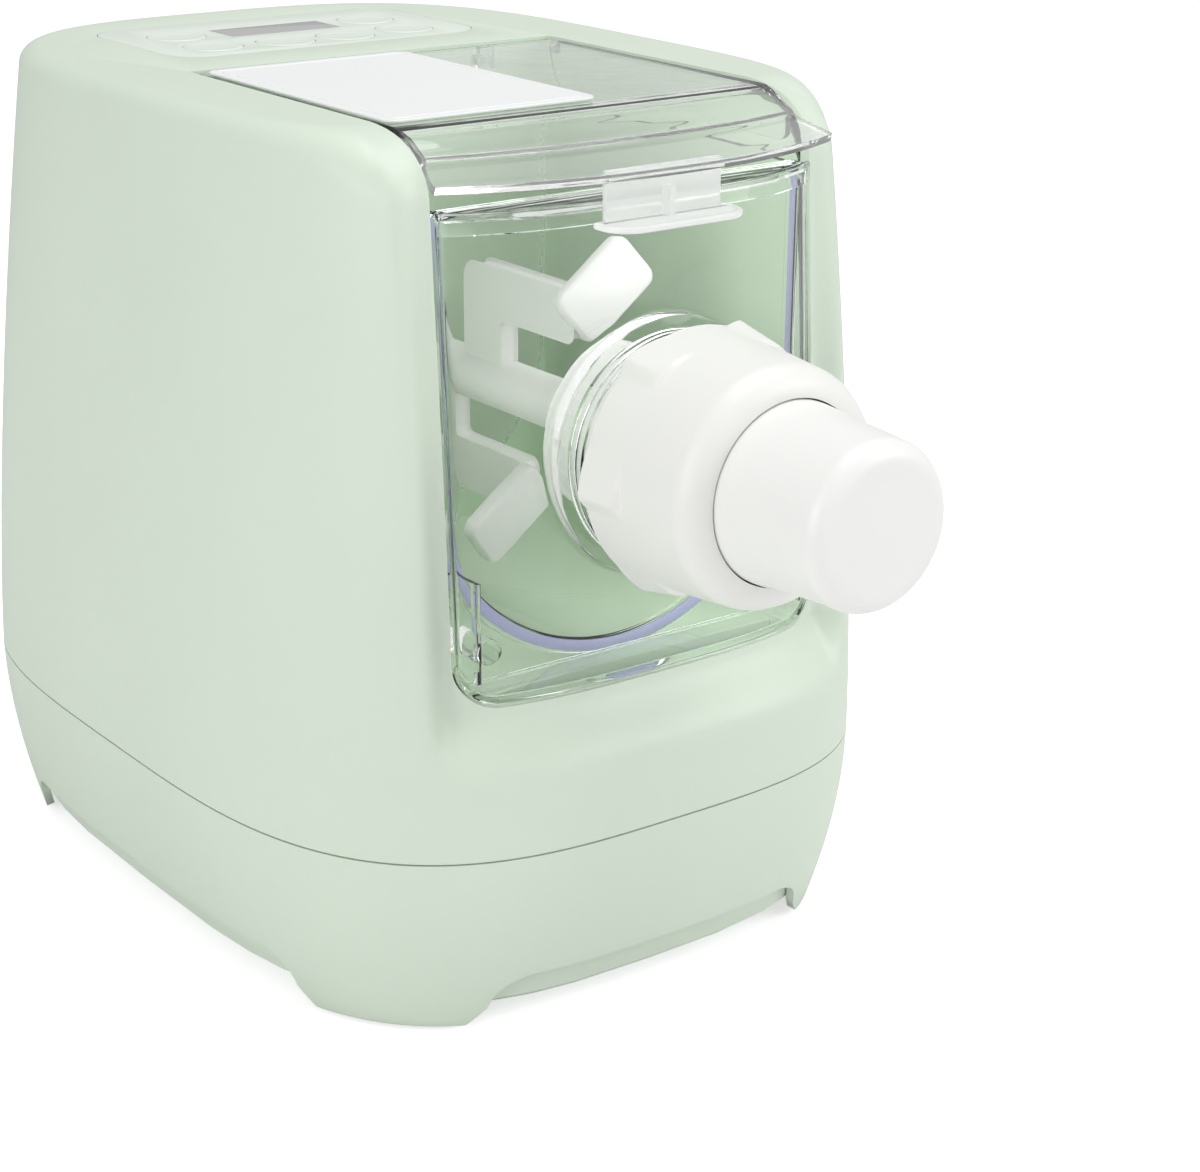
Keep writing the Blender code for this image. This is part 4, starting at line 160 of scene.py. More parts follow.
def moulded(name, colour, roughness, mottle=0.03, grain=0.04, metallic=0.0, scale=900):
    """A moulded or metal finish: its colour drifts a little over the part, and a fine grain moves the gloss and the height."""
    made = bpy.data.materials.new(name)
    made.use_nodes = True
    tree = made.node_tree
    shader = tree.nodes["Principled BSDF"]
    shader.inputs["Metallic"].default_value = metallic
    place = tree.nodes.new("ShaderNodeTexCoord")
    drift = tree.nodes.new("ShaderNodeTexNoise")
    drift.inputs["Scale"].default_value = 14
    drift.inputs["Detail"].default_value = 2
    shade = tree.nodes.new("ShaderNodeMix")
    shade.data_type = "RGBA"
    shade.inputs["A"].default_value = (*[c * (1 - mottle) for c in colour], 1)
    shade.inputs["B"].default_value = (*[min(1, c * (1 + mottle)) for c in colour], 1)
    fine = tree.nodes.new("ShaderNodeTexNoise")
    fine.inputs["Scale"].default_value = scale
    fine.inputs["Detail"].default_value = 3
    gloss = tree.nodes.new("ShaderNodeMapRange")
    gloss.inputs["To Min"].default_value = roughness - 0.05
    gloss.inputs["To Max"].default_value = roughness + 0.05
    bump = tree.nodes.new("ShaderNodeBump")
    bump.inputs["Strength"].default_value = grain
    bump.inputs["Distance"].default_value = 0.0002
    for source, target in (
        (place.outputs["Object"], drift.inputs["Vector"]),
        (drift.outputs["Fac"], shade.inputs["Factor"]),
        (shade.outputs["Result"], shader.inputs["Base Color"]),
        (place.outputs["Object"], fine.inputs["Vector"]),
        (fine.outputs["Fac"], gloss.inputs["Value"]),
        (gloss.outputs["Result"], shader.inputs["Roughness"]),
        (fine.outputs["Fac"], bump.inputs["Height"]),
        (bump.outputs["Normal"], shader.inputs["Normal"]),
    ):
        tree.links.new(source, target)
    return made


def outline_size(z):
    """Half width, half depth and middle of the body's outline: a power curve of the height above the seam, another below it."""
    rise = np.clip((z - SEAM_Z) / (HEIGHT - SEAM_Z), 0, 1)
    lean = rise**1.49
    drop = np.clip(1 - z / SEAM_Z, 0, 1) ** 1.86
    half_x = 0.1202 - 0.0169 * lean - 0.0095 * drop
    half_y = 0.1602 - 0.0152 * lean - 0.0112 * drop
    return half_x, half_y, -0.0062 * rise


def dish_depth(x, z):
    """How far the front is pushed in round the window: full inside its edge, then a smooth step out to nothing."""
    rise = np.clip((z - WINDOW_LOW) / (HEIGHT - WINDOW_LOW), 0, 1)
    across = np.clip(np.abs(x) - WINDOW_HALF, 0, 1) / 0.013
    below = np.clip(WINDOW_LOW - z, 0, 1) / 0.021
    share = np.clip(1 - np.hypot(across, below), 0, 1)
    return (0.0112 - 0.0035 * rise**3) * share * share * (3 - 2 * share)


def power(value, exponent):
    """The value's size raised to a power, with its sign kept."""
    return np.sign(value) * np.abs(value) ** exponent


def shoulder(turn):
    """Radius of the body's top edge: 6 mm at the sides and rear, growing to 18.5 mm over the front."""
    return 0.006 + 0.0125 * np.clip(-1.5 * np.sin(turn), 0, 1) ** 4


def skin_point(turn, z, inset):
    """Point of the body's rounded-square outline at a turn and height, moved in by an inset and pushed in by the dish."""
    half_x, half_y, middle = outline_size(z)
    x = (half_x - inset) * power(np.cos(turn), PLAN_X)
    y = middle + (half_y - inset) * power(np.sin(turn), PLAN_Y)
    return np.stack([x, y + np.where(np.sin(turn) < 0, dish_depth(x, z), 0), z + 0 * x], -1)


def grid_quads(rows, columns, first, ring):
    """Corner numbers of a grid's quads, row by row; a ring joins the last column to the first."""
    j, i = np.meshgrid(np.arange(rows - 1), np.arange(columns if ring else columns - 1), indexing="ij")
    after = (i + 1) % columns
    corners = [j * columns + i, j * columns + after, (j + 1) * columns + after, (j + 1) * columns + i]
    return (np.stack(corners, -1).reshape(-1, 4) + first).tolist()


def make_piece(name, patches, material, caps=(), crease=40, wall=0.0, rolled=0.0):
    """Joins grids, rings and flat caps into one mesh, merges shared points and turns the faces outwards; a wall and rolled rims may follow."""
    points, faces = [], []
    first = 0
    for grid, ring in patches:
        points.append(grid.reshape(-1, 3))
        faces += grid_quads(grid.shape[0], grid.shape[1], first, ring)
        first += grid.shape[0] * grid.shape[1]
    for outline in caps:
        points.append(outline)
        faces.append(list(range(first, first + len(outline))))
        first += len(outline)
    mesh = bpy.data.meshes.new(name)
    mesh.from_pydata(np.concatenate(points) + (0, BODY_Y, 0), [], faces)
    shape = bmesh.new()
    shape.from_mesh(mesh)
    bmesh.ops.remove_doubles(shape, verts=shape.verts, dist=4e-6)
    bmesh.ops.recalc_face_normals(shape, faces=shape.faces)
    shape.to_mesh(mesh)
    shape.free()
    mesh.materials.append(material)
    piece = bpy.data.objects.new(name, mesh)
    bpy.context.scene.collection.objects.link(piece)
    mesh.shade_smooth()
    if wall:
        thicken = piece.modifiers.new("wall", "SOLIDIFY")
        thicken.thickness = wall
        thicken.offset = -1
        thicken.use_even_offset = True
    if rolled:
        roll = piece.modifiers.new("rolled_rim", "BEVEL")
        roll.width = rolled
        roll.segments = 3
        roll.limit_method = "ANGLE"
        roll.angle_limit = math.radians(60)
    else:
        mesh.set_sharp_from_angle(angle=math.radians(crease))
    return piece


def window_half(z):
    """Half width of the window at a height: straight sides down to a quarter circle at each lower corner."""
    down = np.clip(1 - (z - WINDOW_LOW) / WINDOW_ROUND, 0, 1)
    return WINDOW_HALF - WINDOW_ROUND * (1 - np.sqrt(1 - down * down))


def row_place(kinds, radius):
    """Height and inset of each row: fixed below the window's corners, stretched up to the shoulder, then a quarter turn of its radius."""
    fixed, stretch, drop, inwards, extra = kinds.T[:, :, None]
    z = fixed + stretch * (HEIGHT - WINDOW_LOW - WINDOW_ROUND - radius) - drop * radius
    return z, inwards * radius + extra


low_z = SEAM_Z + SHELL_GAP
below_z = low_z + (WINDOW_LOW - low_z) * np.concatenate([[0, 0.02], np.linspace(0.06, 1, 26)])
corner_z = WINDOW_LOW + WINDOW_ROUND * (1 - np.cos(np.linspace(0, math.pi / 2, 13)[1:]))
bends = np.linspace(0, math.pi / 2, 12)[1:]
row_kinds = [(z, 0, 0, 0, 0) for z in (*below_z, *corner_z)]
row_kinds += [(WINDOW_LOW + WINDOW_ROUND, share, 0, 0, 0) for share in np.linspace(0, 1, 52)[1:]]
row_kinds += [(HEIGHT, 0, 1 - math.sin(bend), 1 - math.cos(bend), 0) for bend in bends]
row_kinds += [(HEIGHT, 0, 0, 1, 0.0012)]
row_kinds = np.array(row_kinds)
front_end, side_end = np.full((len(row_kinds), 1), -math.pi / 2), np.zeros((len(row_kinds), 1))
for _ in range(44):
    middle = (front_end + side_end) / 2
    z, inset = row_place(row_kinds, shoulder(middle))
    inside = skin_point(middle, z, inset)[..., 0] < window_half(z)
    front_end, side_end = np.where(inside, middle, front_end), np.where(inside, side_end, middle)
near = np.concatenate([[0, 0.008], np.linspace(0.025, 0.37, 24)])
far = np.linspace(0, 1, 80)[1:]
half_turns = np.concatenate([front_end + near, front_end + 0.37 + (math.pi / 2 - front_end - 0.37) * far], 1)
turns = np.concatenate([half_turns, math.pi - half_turns[:, -2::-1]], 1)
z, inset = row_place(row_kinds, shoulder(turns))
shell = skin_point(turns, z, inset)

x, z = np.meshgrid((WINDOW_HALF - WINDOW_ROUND) * np.linspace(-1, 1, 60), below_z)
half_x, half_y, middle = outline_size(z)
y = middle - half_y * (1 - (np.abs(x) / half_x) ** (2 / PLAN_X)) ** (PLAN_Y / 2) + dish_depth(x, z)
under_window = np.stack([x, y, z], -1)


def quarter(centre_x, centre_y, radius, start, steps=8):
    """Points of a quarter circle, turning left from a start angle."""
    angle = start + np.linspace(0, math.pi / 2, steps)
    return np.stack([centre_x + radius * np.cos(angle), centre_y + radius * np.sin(angle)], -1)


deck_edge = shell[-1, : half_turns.shape[1], :2]
panel_x, panel_y = PANEL_HALF[0] - PANEL_ROUND, PANEL_HALF[1] - PANEL_ROUND
panel_side = np.concatenate(
    [
        [(0, PANEL_MIDDLE - PANEL_HALF[1])],
        quarter(panel_x, PANEL_MIDDLE - panel_y, PANEL_ROUND, -math.pi / 2, 14),
        quarter(panel_x, PANEL_MIDDLE + panel_y, PANEL_ROUND, 0, 14),
        [(0, PANEL_MIDDLE + PANEL_HALF[1])],
    ]
)
window_rear = quarter(WINDOW_HALF - 0.001, WINDOW_REAR - 0.001, 0.001, 0)
deck_half = np.concatenate([deck_edge, panel_side[::-1], [(0, WINDOW_REAR)], window_rear[::-1]])
deck_half = np.concatenate([deck_half, np.full((len(deck_half), 1), HEIGHT)], 1)
housing = make_piece(
    "upper_shell",
    [(shell, False), (under_window, False)],
    moulded("mint_shell", (0.645, 0.735, 0.625), 0.42),
    caps=[deck_half, deck_half * (-1, 1, 1)],
    wall=WALL,
    rolled=0.0007,
)
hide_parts("upper_housing")
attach(housing, "machine")


# Base ring: the same mint plastic, moulded as a skirt that carries the housing and stands on four corner feet
# with low arches between them.
FOOT_LOW = 0.0015
ARCH_TOP = 0.0195
ARCH_KNEE = (0.0055, 0.0085)
ARCH_BEND = 0.014
ARCH_X = 0.069
ARCH_Y = (-0.101, 0.092)


def arch_height(inside):
    """Height of the lower edge at a distance inside an arch's end: a slope up to the knee, then a quarter ellipse to the crown."""
    slope = FOOT_LOW + (ARCH_KNEE[1] - FOOT_LOW) * np.clip(inside / ARCH_KNEE[0], 0, 1)
    along = np.clip((inside - ARCH_KNEE[0]) / ARCH_BEND, 0, 1)
    return slope + (ARCH_TOP - ARCH_KNEE[1]) * np.sqrt(1 - (1 - along) ** 2)


def skirt_low(x, y):
    """Height of the base ring's lower edge at a place on its outline: the higher of the two pairs of arches."""
    along_side = np.minimum(y - ARCH_Y[0], ARCH_Y[1] - y)
    return np.maximum(arch_height(ARCH_X - np.abs(x)), arch_height(along_side))


inside = np.concatenate([np.linspace(-0.002, ARCH_KNEE[0], 8), ARCH_KNEE[0] + ARCH_BEND * (1 - np.cos(np.linspace(0, math.pi / 2, 10)[1:]))])
half_x, half_y, _ = outline_size(np.array(0.012))
from_front = np.arccos(((ARCH_X - inside) / half_x) ** (1 / PLAN_X))
from_low = np.arcsin((-(ARCH_Y[0] + inside) / half_y) ** (1 / PLAN_Y))
from_high = np.arcsin(((ARCH_Y[1] - inside) / half_y) ** (1 / PLAN_Y))
turns = np.concatenate([np.linspace(-math.pi, math.pi, 241)[:-1], -from_front, from_front, -from_low, from_high])
turns = np.concatenate([turns, math.pi - turns])
turns = np.unique(np.round((turns + math.pi) % (2 * math.pi) - math.pi, 5))
skirt_edge = np.full(turns.shape, 0.012)
for _ in range(8):
    half_x, half_y, _ = outline_size(skirt_edge)
    skirt_edge = skirt_low(half_x * power(np.cos(turns), PLAN_X), half_y * power(np.sin(turns), PLAN_Y))
up = np.concatenate([[0, 0.03], np.linspace(0.08, 0.94, 20), [0.985, 1]])[:, None]
z = skirt_edge + (SEAM_Z - skirt_edge) * up
half_x, half_y, _ = outline_size(z)
skirt = np.stack([half_x * power(np.cos(turns), PLAN_X), half_y * power(np.sin(turns), PLAN_Y), z], -1)
base = make_piece("base_skirt", [(skirt, True)], moulded("mint_base", (0.645, 0.735, 0.625), 0.42), wall=WALL, rolled=0.0006)
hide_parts("base_ring")
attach(base, "machine")


# Front plate: a curved tray of clear plastic that closes the cup, with a threaded collar for the ring nut in its
# middle. It is moulded in one, hollow at the back, with a proud band along its top edge.
AXIS_Z = 0.1855
PLATE_HALF = 0.0713
PLATE_LOW = 0.1108
PLATE_TOP = 0.263
PLATE_WALL = 0.0025
PLATE_EDGE = 0.001
PLATE_BACK = -0.12656
COLLAR = (0.0334, 0.0369)
BOSS_RADIUS = 0.041
BOSS_RISE = 0.004


def clear(name, colour, roughness, ior=1.49, clearness=1.0):
    """Clear plastic: light bends through it, lamps and soft light shine through it, and its skin ripples very slightly."""
    made = bpy.data.materials.new(name)
    made.use_nodes = True
    tree = made.node_tree
    shader = tree.nodes["Principled BSDF"]
    shader.inputs["Base Color"].default_value = (*colour, 1)
    shader.inputs["Roughness"].default_value = roughness
    shader.inputs["Transmission Weight"].default_value = clearness
    shader.inputs["IOR"].default_value = ior
    place = tree.nodes.new("ShaderNodeTexCoord")
    ripple = tree.nodes.new("ShaderNodeTexNoise")
    ripple.inputs["Scale"].default_value = 45
    bump = tree.nodes.new("ShaderNodeBump")
    bump.inputs["Strength"].default_value = 0.06
    bump.inputs["Distance"].default_value = 0.0008
    ray = tree.nodes.new("ShaderNodeLightPath")
    through = tree.nodes.new("ShaderNodeBsdfTransparent")
    through.inputs["Color"].default_value = (*colour, 1)
    either = tree.nodes.new("ShaderNodeMixShader")
    open_to_soft = tree.nodes.new("ShaderNodeMixShader")
    for source, target in (
        (place.outputs["Object"], ripple.inputs["Vector"]),
        (ripple.outputs["Fac"], bump.inputs["Height"]),
        (bump.outputs["Normal"], shader.inputs["Normal"]),
        (ray.outputs["Is Shadow Ray"], either.inputs["Fac"]),
        (ray.outputs["Is Diffuse Ray"], open_to_soft.inputs["Fac"]),
        (shader.outputs["BSDF"], either.inputs[1]),
        (through.outputs["BSDF"], either.inputs[2]),
        (either.outputs["Shader"], open_to_soft.inputs[1]),
        (through.outputs["BSDF"], open_to_soft.inputs[2]),
        (open_to_soft.outputs["Shader"], tree.nodes["Material Output"].inputs["Surface"]),
    ):
        tree.links.new(source, target)
    return made


def plate_front(x, z):
    """Depth of the plate's front surface: the body's front outline, set back by the dish's full depth."""
    half_x, half_y, middle = outline_size(z)
    rise = np.clip((z - WINDOW_LOW) / (HEIGHT - WINDOW_LOW), 0, 1)
    return middle - half_y * (1 - (np.abs(x) / half_x) ** (2 / PLAN_X)) ** (PLAN_Y / 2) + 0.0112 - 0.0035 * rise**3


def rounded_outline(low, high, rounds, side=30, corner=12):
    """Points and outward directions round a rectangle, with one corner radius below and one above: quarter circles joined by straight runs."""
    arcs, directions = [], []
    for k, (across, up) in enumerate(((1, 1), (-1, 1), (-1, -1), (1, -1))):
        radius = rounds[1] if up > 0 else rounds[0]
        middle_x = high[0] - radius if across > 0 else low[0] + radius
        middle_z = high[1] - radius if up > 0 else low[1] + radius
        angle = (k + np.linspace(0, 1, corner)) * math.pi / 2
        directions.append(np.stack([np.cos(angle), np.sin(angle)], -1))
        arcs.append((middle_x, middle_z) + radius * directions[-1])
    run = np.linspace(0, 1, side + 2)[1:-1, None]
    points, outwards = [], []
    for k in range(4):
        points += [arcs[k], arcs[k][-1] + (arcs[(k + 1) % 4][0] - arcs[k][-1]) * run]
        outwards += [directions[k], np.repeat(directions[k][-1:], side, 0)]
    return np.concatenate(points), np.concatenate(outwards)


def at_depth(places, y):
    """Points at (across, up) places, put at a depth or at one depth each."""
    return np.stack([places[..., 0], np.broadcast_to(y, places.shape[:-1]), places[..., 1]], -1)


outline, outward = rounded_outline((-PLATE_HALF, PLATE_LOW), (PLATE_HALF, PLATE_TOP), (0.014, 0.004))
axis = np.array((0, AXIS_Z))
aim = (outline - axis) / np.linalg.norm(outline - axis, axis=1, keepdims=True)
collar_front = plate_front(0, AXIS_Z) - 0.03855
boss_front = plate_front(0, AXIS_Z) - BOSS_RISE
bore, rim = COLLAR
edge = 0.0006
section = [(bore, collar_front + edge), (bore + edge / 3, collar_front + edge / 3), (bore + edge, collar_front)]
section += [(rim - edge, collar_front), (rim - edge / 3, collar_front + edge / 3), (rim, collar_front + edge)]
thread_y = np.linspace(collar_front + 0.003, boss_front - 0.003, 60)
thread = 0.0005 * np.clip(np.sin((thread_y - boss_front) * 2 * math.pi / 0.0035), 0, 1) ** 2
section += list(zip(rim + thread, thread_y))
section += [(rim, boss_front - edge), (rim + edge / 3, boss_front - edge / 3), (rim + edge, boss_front)]
section += [(BOSS_RADIUS - edge, boss_front), (BOSS_RADIUS - edge / 3, boss_front + edge / 3), (BOSS_RADIUS, boss_front + edge)]
rows = [at_depth(axis + radius * aim, y) for radius, y in section]
for radius, lift in ((BOSS_RADIUS, edge), (BOSS_RADIUS + edge / 3, edge / 3), (BOSS_RADIUS + edge, 0)):
    places = axis + radius * aim
    rows.append(at_depth(places, plate_front(*places.T) - lift))
inner_ring, outer_ring = axis + (BOSS_RADIUS + edge) * aim, outline - PLATE_EDGE * outward
for share in np.linspace(0, 1, 27)[1:]:
    places = inner_ring + (outer_ring - inner_ring) * share
    rows.append(at_depth(places, plate_front(*places.T)))
for bend in np.radians((22.5, 45, 67.5, 90)):
    places = outline - PLATE_EDGE * (1 - math.sin(bend)) * outward
    rows.append(at_depth(places, plate_front(*outer_ring.T) + PLATE_EDGE * (1 - math.cos(bend))))
rows.append(at_depth(outline, PLATE_BACK - edge))
rows.append(at_depth(outline - edge * outward, PLATE_BACK))
inside = outline - PLATE_WALL * outward
rows += [at_depth(inside + edge * outward, PLATE_BACK), at_depth(inside, PLATE_BACK - edge)]
rows.append(at_depth(inside, plate_front(*inside.T) + PLATE_WALL + edge))
outer_ring, inner_ring = inside - edge * outward, axis + bore * aim
for share in np.linspace(1, 0, 24):
    places = inner_ring + (outer_ring - inner_ring) * share
    rows.append(at_depth(places, plate_front(*places.T) + PLATE_WALL))
rows.append(rows[0])
patches = [(np.stack(rows), True)]
band_x = np.linspace(-PLATE_HALF + 0.0008, PLATE_HALF - 0.0008, 60)
band = []
for step, up in ((0.0004, 0.2562), (-0.0006, 0.2564), (-0.0009, 0.2568), (-0.0009, 0.2624), (-0.0006, 0.2628), (0.001, 0.2628), (0.0004, 0.2562)):
    band.append(np.stack([band_x, plate_front(band_x, up) + step, up + 0 * band_x], -1))
band = np.stack(band)
patches.append((band, False))


def block(low, high):
    """The six sides of a box as one ring of four corners carried from its low to its high end, with a cap at each end."""
    corners = np.array([(low[0], low[1]), (high[0], low[1]), (high[0], high[1]), (low[0], high[1])])
    ring = np.stack([np.column_stack([corners, np.full(4, z)]) for z in (low[2], high[2])])
    return ring, [ring[0], ring[1]]


caps = [band[:-1, 0], band[:-1, -1]]
for side in (-1, 1):
    rib, ends = block((side * 0.064 - 0.0007, -0.1415, 0.1185), (side * 0.064 + 0.0007, PLATE_BACK + 0.0002, 0.151))
    patches.append((rib, True))
    caps += ends
    angle = np.linspace(0, 2 * math.pi, 33)[:-1]
    stud = np.stack([side * 0.0605 + 0.0042 * np.cos(angle), 0.1285 + 0.0042 * np.sin(angle)], -1)
    stud = np.stack([at_depth(stud, y) for y in (-0.142, PLATE_BACK + 0.0002)])
    patches.append((stud, True))
    caps += [stud[0], stud[1]]
plate = make_piece("clear_front_plate", patches, clear("clear_plate", (0.99, 0.997, 0.992), 0.015, ior=1.38), caps=caps, crease=35)
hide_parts("front_plate")
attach(plate, "machine")


# Mixing cup: a deep trough of clear plastic, round below and open on top, with a flange at its front that presses
# a violet silicone gasket against the plate.
CUP_FRONT = -0.12476
CUP_REAR = 0.0108
CUP_HALF = 0.0695
CUP_RADIUS = 0.0715
CUP_TOP = 0.262
CUP_WALL = 0.0025
SEAL_HOLE = 0.0093


def trough(half, radius, top):
    """Points and outward directions along a U: a straight side down, an arc about the mixing axis, and a straight side up."""
    spread = math.asin(half / radius)
    angle = -math.pi / 2 + spread * np.linspace(-1, 1, 97)
    direction = np.stack([np.cos(angle), np.sin(angle)], -1)
    arc = axis + radius * direction
    up = np.linspace(1, 0, 24, endpoint=False)[:, None]
    left = np.array((-half, arc[0, 1])) + (0, top - arc[0, 1]) * up
    path = np.concatenate([left, arc, left[::-1] * (-1, 1)])
    sides = np.zeros(left.shape) + (-1, 0)
    return path, np.concatenate([sides, direction, sides * (-1, 1)])


path, outward = trough(CUP_HALF, CUP_RADIUS, CUP_TOP)
flange = np.interp(-path[:, 1], (-0.20, -0.165), (0.0015, 0.0033))[:, None]
soft = 0.0004
section = (
    (-CUP_WALL, 0, CUP_REAR - CUP_WALL),
    (-CUP_WALL, 0, CUP_FRONT + soft),
    (soft - CUP_WALL, 0, CUP_FRONT),
    (-soft, 1, CUP_FRONT),
    (0, 1, CUP_FRONT + soft),
    (0, 1, CUP_FRONT + 0.0035 - soft),
    (-soft, 1, CUP_FRONT + 0.0035),
    (soft, 0, CUP_FRONT + 0.0035),
    (0, 0, CUP_FRONT + 0.0035 + soft),
    (0, 0, CUP_REAR - soft),
    (-soft, 0, CUP_REAR),
    (-CUP_WALL, 0, CUP_REAR),
)
sweep = np.stack([at_depth(path + (offset + part * flange) * outward, y) for offset, part, y in section])
walls = np.concatenate([sweep, sweep[:1]])
inner_path = path - CUP_WALL * outward
top_run = np.linspace(0, 1, 42)[1:-1, None]
wall_line = np.concatenate([inner_path, inner_path[-1] + (inner_path[0] - inner_path[-1]) * top_run])
hole_aim = (wall_line - axis) / np.linalg.norm(wall_line - axis, axis=1, keepdims=True)
shares = np.linspace(0, 1, 10)
face = [axis + SEAL_HOLE * hole_aim + (wall_line - axis - SEAL_HOLE * hole_aim) * share for share in shares]
rear = [at_depth(places, CUP_REAR - CUP_WALL) for places in face[::-1]] + [at_depth(places, CUP_REAR) for places in face]
rear = np.stack([*rear, rear[0]])
cup = make_piece(
    "clear_mixing_cup",
    [(walls, False), (rear, True)],
    clear("clear_cup", (0.985, 0.995, 0.985), 0.02, ior=1.2),
    caps=[sweep[:, 0], sweep[:, -1]],
    crease=35,
)
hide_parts("mixing_cup")
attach(cup, "machine")

path, outward = trough(CUP_HALF + 0.0003, CUP_RADIUS + 0.0018, CUP_TOP)
section = ((0, 0.0002), (-0.0003, 0), (-0.0033, 0), (-0.0036, 0.0002), (-0.0036, 0.001), (-0.0033, 0.0012), (-0.0003, 0.0012), (0, 0.001))
broad = np.interp(-path[:, 1], (-0.19, -0.15), (0.4, 1))[:, None]
sweep = np.stack([at_depth(path + ((offset + 0.0018) * broad - 0.0018) * outward, PLATE_BACK + 0.0003 + y) for offset, y in section])
gasket = make_piece(
    "silicone_gasket",
    [(np.concatenate([sweep, sweep[:1]]), False)],
    moulded("violet_silicone", (0.43, 0.45, 0.70), 0.5),
    caps=[sweep[:, 0], sweep[:, -1]],
)
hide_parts("cup_gasket")
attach(gasket, "machine")


# Ring nut: a thick cone of white plastic that screws over the collar and holds the head. Six wedge-shaped grips
# rise towards its rear edge and fade into the cone.
NUT_REAR = collar_front + 0.022
NUT_FRONT = NUT_REAR - 0.0455
NUT_REAR_RADIUS = 0.0408
NUT_FRONT_RADIUS = 0.0376
NUT_NOSE = 0.009
GRIP_RISE = 0.0028


def grip(turn):
    """Height of the grips round the nut as a share: each one rises over 22 degrees, is rounded at its crest, and falls over 7."""
    place = (np.degrees(turn) - 6.6 + 22) % 60 - 22
    rise, fall = 1 + place / 22, 1 - place / 7
    share = np.clip(np.minimum(rise, fall), 0, 1)
    return share * share * (3 - 2 * share) * 0.35 + share * 0.65


turn = np.linspace(0, 2 * math.pi, 361)[:-1]
cone_front = NUT_FRONT + NUT_NOSE
section = [(NUT_REAR - 0.0002, 0.0378), (NUT_REAR, 0.0381), (NUT_REAR, 0.0402), (NUT_REAR - 0.00015, 0.04055), (NUT_REAR - 0.0006, NUT_REAR_RADIUS)]
for share in np.linspace(0.03, 1, 40):
    section.append((NUT_REAR + (cone_front - NUT_REAR) * share, NUT_REAR_RADIUS + (NUT_FRONT_RADIUS - NUT_REAR_RADIUS) * share))
for bend in np.linspace(0, math.pi / 2, 15)[1:]:
    section.append((cone_front - NUT_NOSE * math.sin(bend), NUT_FRONT_RADIUS - NUT_NOSE * (1 - math.cos(bend))))
section += [(NUT_FRONT, 0.0292), (NUT_FRONT + 0.0002, 0.0289), (NUT_FRONT + 0.0006, 0.0287), (collar_front - 0.0039, 0.0287), (collar_front - 0.0039, 0.0375), (NUT_REAR - 0.0006, 0.0375), (NUT_REAR - 0.0002, 0.0378)]
section = np.array(section)
fade = np.clip((section[:, 0] - (NUT_REAR - 0.028)) / 0.028, 0, 1) * (section[:, 1] > 0.0395)
radius = section[:, 1:] + GRIP_RISE * fade[:, None] * grip(turn)
nut = np.stack([radius * np.cos(turn), np.broadcast_to(section[:, :1], radius.shape), AXIS_Z + radius * np.sin(turn)], -1)
ring_nut = make_piece("grip_ring_nut", [(nut, True)], moulded("white_nut", (0.83, 0.835, 0.80), 0.38), crease=38)
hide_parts("ring_nut")
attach(ring_nut, "nut")


# Extruder head: a closed cup of white plastic, turned down a little towards its rounded end, with an opening in
# its underside for the die. Its rear flange is held by the nut.
HEAD_TIP = NUT_FRONT - 0.0415
HEAD_ROOT_RADIUS = 0.0281
HEAD_TIP_RADIUS = 0.0254
HEAD_ROUND = 0.0065
HEAD_BORE = 0.022
DIE_REAR = NUT_FRONT - 0.004
DIE_FRONT = DIE_REAR - 0.03
DIE_SPREAD = math.radians(36) + 0.0136

barrel_end = HEAD_TIP + HEAD_ROUND
tip_centre = HEAD_ROOT_RADIUS + (HEAD_TIP_RADIUS - HEAD_ROOT_RADIUS) * (NUT_FRONT - barrel_end) / (NUT_FRONT - HEAD_TIP) - HEAD_ROUND


def head_rows(stations, turn):
    """Rings of the head at (depth, radius) stations, over a run of turns about the axis."""
    depth, radius = np.array(stations).T[:, :, None]
    return np.stack([radius * np.cos(turn), depth + 0 * radius * turn, AXIS_Z + radius * np.sin(turn)], -1)


def barrel_stations(start, end, count):
    """Stations along the head's taper between two depths."""
    share = (np.linspace(start, end, count) - NUT_FRONT) / (HEAD_TIP - NUT_FRONT)
    return list(zip(np.linspace(start, end, count), HEAD_ROOT_RADIUS + (HEAD_TIP_RADIUS - HEAD_ROOT_RADIUS) * np.clip(share, 0, 1)))


open_turns = -math.pi / 2 + DIE_SPREAD + (2 * math.pi - 2 * DIE_SPREAD) * np.linspace(0, 1, 97)
shut_turns = -math.pi / 2 + DIE_SPREAD * np.linspace(-1, 1, 25)
all_turns = np.concatenate([open_turns, open_turns[-1] + (shut_turns[1:-1] - shut_turns[0])])
flange_back = collar_front - 0.0003
rear_part = [(flange_back, HEAD_BORE), (flange_back, 0.0361), (flange_back - 0.0004, 0.0365), (flange_back - 0.003, 0.0365), (flange_back - 0.003, HEAD_ROOT_RADIUS)]
rear_part += barrel_stations(flange_back - 0.0035, DIE_REAR + 0.0003, 16)
tip_part = barrel_stations(DIE_FRONT - 0.0003, barrel_end, 5)
for bend in np.linspace(0, math.pi / 2, 13)[1:]:
    tip_part.append((barrel_end - HEAD_ROUND * math.sin(bend), tip_centre + HEAD_ROUND * math.cos(bend)))
tip_part += [(HEAD_TIP, tip_centre * share) for share in (0.93, 0.6, 0.25)]
middle_part = barrel_stations(DIE_REAR + 0.0003, DIE_FRONT - 0.0003, 26)
inner_barrel = [(HEAD_TIP + 0.003, HEAD_BORE * share) for share in (0.25, 0.7, 0.985)]
inner_barrel += [(HEAD_TIP + 0.0034, HEAD_BORE), (DIE_FRONT - 0.0003, HEAD_BORE)]
